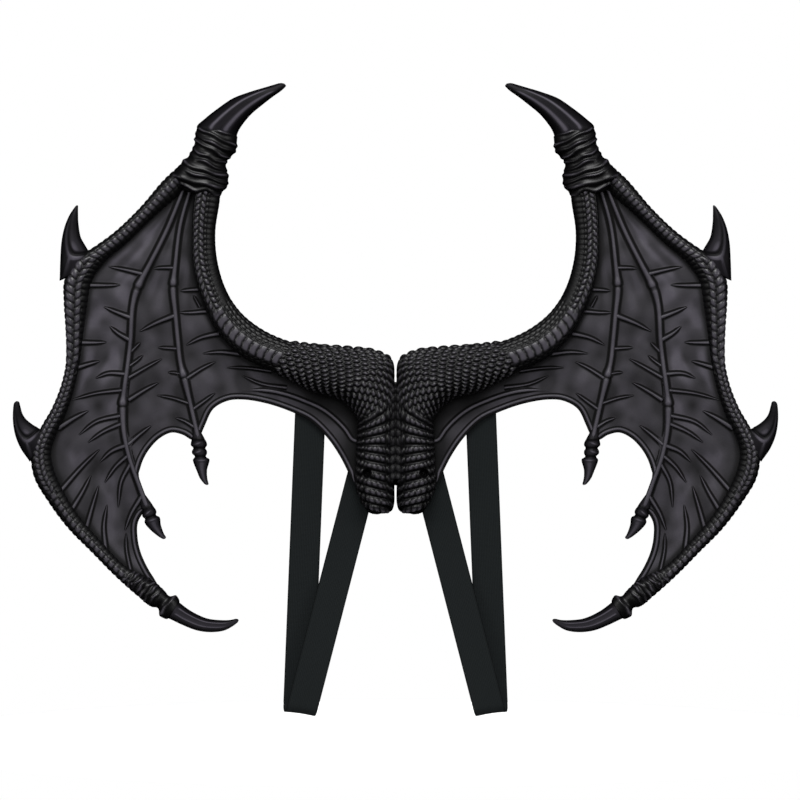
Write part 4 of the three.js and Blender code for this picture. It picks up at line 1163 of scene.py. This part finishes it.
def buildHem(shape):
    hems = []
    for k, edge in enumerate((edgeInner, edgeMiddle, edgeOuter)):
        t, along = evenlyAlong(edge, shape["steps"])
        line = curveThrough(edge, t)
        full = ease(along, 0, shape["taper"]) * ease(along, along[-1], along[-1] - shape["taper"])
        side = sideOf(line) * mix(shape["ends"], 1, full)[:, None]
        points = np.empty((len(line), len(shape["section"]), 3))
        relief = np.empty(points.shape[:2])
        for j, (inward, height, tone) in enumerate(shape["section"]):
            depth, _ = sheetUnder(line + side * max(inward, shape["seat"]))
            spots = line + side * inward
            points[:, j] = np.column_stack([spots[:, 0], depth - height, spots[:, 1]])
            relief[:, j] = tone
        hems.append(buildSleeve("hem%d" % k, points, {"relief": relief}, (0.8, 0.8), 4))
    return joinPieces("rightHem", hems)


keepPiece(buildHem(hemShape), None, "membrane", "membraneFoam")
print("ribs, veins and hems modelled")


# Shoulder loops: flat woven elastic from the arm, round its fold, to the foot of the hub
strapHalf = ((0.96, 1), (0.82, 1), (0.4, 1), (0, 1), (-0.4, 1), (-0.82, 1), (-0.96, 1), (-0.99, 0.7), (-1, 0),
             (-0.99, -0.7))  # across in half widths, up in half thicknesses
strapShape = {
    "width": 26, "thick": 1.6, "bend": 7, "bendY": -1, "away": 1.1, "spread": 1.8,
    "upperEnd": (70, 66), "lowerEnd": (24, -21), "fold": (81.5, -240),
    "upperFree": 250, "lowerFree": 160, "steps": 80, "bendSteps": 20,
    "section": (*strapHalf, *((-wide, -tall) for wide, tall in strapHalf)),
}


def buildStrap(shape):
    def flat(place):
        return np.array([place[0], 0.0, place[1]])

    def unit(way):
        return way / np.linalg.norm(way)

    bend, spread = shape["bend"], shape["spread"]
    upper, lower, fold = (flat(shape[key]) for key in ("upperEnd", "lowerEnd", "fold"))
    backward = np.array([0.0, 1.0, 0.0])
    aside = np.array([spread / 2, 0.0, 0.0])
    downOuter = unit(fold + aside - upper)
    downInner = unit(fold - aside - lower)
    down = unit(downOuter + downInner)
    inward = np.array([down[2], 0, -down[0]])
    rise = bend * math.tan(math.asin(downOuter @ inward))

    def bendAt(angle):
        turned = (angle - math.sin(2 * angle) / 2) / math.pi - 0.5
        sideways = rise * (angle - math.pi / 2) + spread * turned
        point = fold + down * bend * (math.sin(angle) - 1) + inward * sideways
        point[1] = shape["bendY"] + bend * math.cos(angle)
        return point

    def run(start, way, end, free):
        length = np.linalg.norm(fold - end)
        points = []
        for k in range(shape["steps"] + 1):
            far = length * k / shape["steps"]
            point = start + way * far
            point[1] = start[1] + (shape["away"] - start[1]) * float(ease(far, 0, free))
            points.append(point)
        return points

    outer = run(bendAt(0), -downOuter, upper, shape["upperFree"])
    inner = run(bendAt(math.pi), -downInner, lower, shape["lowerFree"])
    stations = [(point, downOuter, backward) for point in outer[:0:-1]]
    for k in range(shape["bendSteps"] + 1):
        angle = math.pi * k / shape["bendSteps"]
        face = backward * math.cos(angle) + down * math.sin(angle)
        circling = down * math.cos(angle) - backward * math.sin(angle)
        drift = rise + spread * (1 - math.cos(2 * angle)) / math.pi
        stations.append((bendAt(angle), unit(circling * bend + inward * drift), face))
    stations += [(point, -downInner, -backward) for point in inner[1:]]
    points = np.empty((len(stations), len(shape["section"]), 3))
    for k, (point, way, face) in enumerate(stations):
        across = unit(np.cross(way, face)) * shape["width"] / 2
        for j, (wide, tall) in enumerate(shape["section"]):
            points[k, j] = point + across * wide + face * tall * shape["thick"] / 2
    far = runAlong(points.mean(axis=1))
    print("strap length %.0f mm" % far[-1])
    wide = np.array([wide for wide, _ in shape["section"]]) * shape["width"] / 2
    marks = {"relief": np.ones(points.shape[:2]),
             "weaveLong": np.repeat(far[:, None], points.shape[1], axis=1),
             "weaveWide": np.repeat(wide[None], len(far), axis=0)}
    return buildSleeve("rightStrap", points, marks, (0.1, 0.1), 2)


keepPiece(buildStrap(strapShape), "strap", "elastic", "wovenElastic")

rivetShape = {
    "head": 5.5, "thick": 1.4, "rim": 0.55, "crown": 0.82, "dish": 0.45, "dishDepth": 0.25, "edge": 0.25,
    "shank": 2.4, "length": 12, "seat": 2.2, "sides": 40,
}
rivetPlaces = {"Upper": (71, 54), "Lower": (23, -35)}


def buildRivet(name, shape, place):
    whole = shape["length"] + shape["seat"]
    deselectAll()
    bpy.ops.mesh.primitive_cylinder_add(vertices=shape["sides"], radius=shape["shank"] * mm, depth=whole * mm,
                                        end_fill_type="NGON", location=(0, 0, 0))
    rivet = nameAs(bpy.context.object, name)
    bpy.ops.object.mode_set(mode="EDIT")
    bpy.ops.mesh.select_all(action="DESELECT")
    bpy.ops.object.mode_set(mode="OBJECT")
    top = max(rivet.data.polygons, key=lambda face: face.center.z)
    top.select = True
    bpy.ops.object.mode_set(mode="EDIT")
    bpy.ops.mesh.select_mode(type="FACE")
    head, rim = shape["head"] / shape["shank"], shape["rim"]
    for rise, wide in ((0, head), (rim, 1), (1 - rim, shape["crown"])):
        step = (0, 0, shape["thick"] * rise * mm)
        bpy.ops.mesh.extrude_region_move(TRANSFORM_OT_translate={"value": step})
        bpy.ops.transform.resize(value=(wide, wide, 1))
    bpy.ops.mesh.inset(thickness=shape["head"] * shape["dish"] * mm, depth=-shape["dishDepth"] * mm)
    bpy.ops.mesh.select_all(action="SELECT")
    bpy.ops.transform.translate(value=(0, 0, whole / 2 * mm - shape["length"] * mm))
    bpy.ops.object.mode_set(mode="OBJECT")
    rivet.rotation_euler = (-math.pi / 2, 0, 0)  # the head faces the wearer
    rivet.location = (place[0] * mm, 0, place[1] * mm)
    bpy.ops.object.transform_apply(location=True, rotation=True, scale=True)
    soft = rivet.modifiers.new("soft", "BEVEL")
    soft.width = shape["edge"] * mm
    soft.segments = 2
    soft.limit_method = "ANGLE"
    bpy.ops.object.modifier_apply(modifier=soft.name)
    bpy.ops.object.shade_smooth_by_angle(angle=math.radians(40))
    return rivet


for end, place in rivetPlaces.items():
    rivetPiece = buildRivet("rightRivet" + end, rivetShape, place)
    keepPiece(rivetPiece, "strap_rivet_" + end.lower(), "rivet", "rivetPlastic")
print("straps and rivets modelled")


# Left wing
def mirrorPiece(piece):
    pickAll([piece])
    bpy.ops.object.duplicate(linked=False)
    copy = nameAs(bpy.context.object, piece.name.replace("right", "left"))
    editAll()
    bpy.ops.transform.resize(value=(-1, 1, 1), center_override=(0, 0, 0))
    bpy.ops.mesh.flip_normals()
    bpy.ops.object.mode_set(mode="OBJECT")
    return copy


for piece, node, slotName in wingPieces:
    for side, part in (("right", piece), ("left", mirrorPiece(piece))):
        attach(part, "root")
        if node:
            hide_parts(side + "_" + node)
print("left wing mirrored")


# Web between the two hubs
jointShape = {
    "rings": 130, "columns": 24,
    "half": 6.0, "front": -19.5, "rise": 4.5, "back": -2, "top": 40, "bottom": -46,
    "pitch": 7.4, "column": 2 / 3, "start": 1.5, "droop": 2.0, "beadHeight": 0.9, "tone": 0.55,
    "soft": 5, "sink": 7,  # at both ends
    "behind": ((1, 0.5), (1, 1), (0.4, 1), (-0.4, 1), (-1, 1), (-1, 0.5)),  # across, share of the way back
}


def buildJoint(shape):
    up = np.linspace(shape["bottom"], shape["top"], shape["rings"])[:, None]
    across = np.linspace(-1, 1, shape["columns"] + 1)[None]
    u = cells(up - shape["start"] + shape["droop"] * np.abs(across), shape["pitch"])
    beads = bead(u, cells(across, shape["column"]))
    ends = 1 - ease(up, shape["top"] - shape["soft"], shape["top"])
    ends = ends - ease(up, shape["bottom"] + shape["soft"], shape["bottom"])
    front = shape["front"] - shape["rise"] * across ** 2 - shape["beadHeight"] * beads
    front = front + shape["sink"] * (1 - ends)
    count = shape["columns"] + 1
    points = np.empty((shape["rings"], count + len(shape["behind"]), 3))
    relief = np.zeros(points.shape[:2])
    points[:, :count, 0] = across * shape["half"]
    points[:, :count, 1] = front
    # painted highlights on the bead tops, painted shade between them and towards both sunken ends
    relief[:, :count] = shape["tone"] * beads * ends
    for k, (wide, deep) in enumerate(shape["behind"]):
        points[:, count + k, 0] = wide * shape["half"]
        points[:, count + k, 1] = mix(front[:, -1], shape["back"], deep)
    points[..., 2] = up
    joint = buildSleeve("hubWeb", points, {"relief": relief}, (0.8, 0.8))
    joint.data.materials.append(finishes["scaleFoam"])
    return joint


hubWeb = buildJoint(jointShape)
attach(hubWeb, "root")
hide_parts("centre_joint")
print("hub web modelled")


# Floor, light and camera
stageLook = {
    "floorDrop": 0.262, "floorRadius": 0.42, "floorTone": (0.92, 0.92, 0.92, 1), "floorRough": 0.9,
    "cameraAway": 3.4, "lens": 180, "sensor": 36, "aim": (0.0038, 0, 0.0255), "room": 1.0,
    "lampAim": (0, 0, 0.05),
    "lamps": (  # name, place, size, power
        ("softTop", (0, -1.3, 1.6), 0.9, 52),
        ("softFront", (0, -3.2, 1.5), 1.2, 26),
        ("softRight", (2.0, -1.5, 0.7), 0.8, 18),
        ("softLeft", (-2.0, -1.5, 0.7), 0.8, 18),
        ("softBack", (0, 2.4, 1.4), 1.2, 40),
    ),
}


def aimAt(thing, target):
    thing.rotation_euler = (Vector(target) - thing.location).to_track_quat("-Z", "Y").to_euler()


def buildStage(look):
    deselectAll()
    bpy.ops.mesh.primitive_circle_add(vertices=96, radius=look["floorRadius"], fill_type="NGON",
                                      location=(0, 0, -look["floorDrop"]))
    floor = bpy.context.object
    floor.name = "paleFloor"
    paint = dress(newFinish("palePaint"), {"Base Color": look["floorTone"], "Roughness": look["floorRough"]})
    floor.data.materials.append(paint)
    floor.visible_glossy = False
    for name, place, size, power in look["lamps"]:
        bpy.ops.object.light_add(type="AREA", location=place)
        lamp = bpy.context.object
        lamp.name = name
        lamp.data.size = size
        lamp.data.energy = power
        lamp.visible_camera = False
        lamp.visible_glossy = name != "softBack"
        aimAt(lamp, look["lampAim"])
    world = bpy.data.worlds.new("whiteRoom")
    bpy.context.scene.world = world
    world.use_nodes = True
    room = world.node_tree.nodes["Background"]
    room.inputs["Color"].default_value = (1, 1, 1, 1)
    room.inputs["Strength"].default_value = look["room"]
    world.cycles_visibility.glossy = False  # only the softboxes show in the gloss, so the edges stay dark
    aim = look["aim"]
    bpy.ops.object.camera_add(location=(aim[0], -look["cameraAway"], aim[2]))
    camera = bpy.context.object
    camera.name = "photoCamera"
    camera.data.lens = look["lens"]
    camera.data.sensor_width = look["sensor"]
    aimAt(camera, aim)
    bpy.context.scene.camera = camera
    bpy.context.scene.view_settings.view_transform = "Standard"


buildStage(stageLook)
print("stage set")
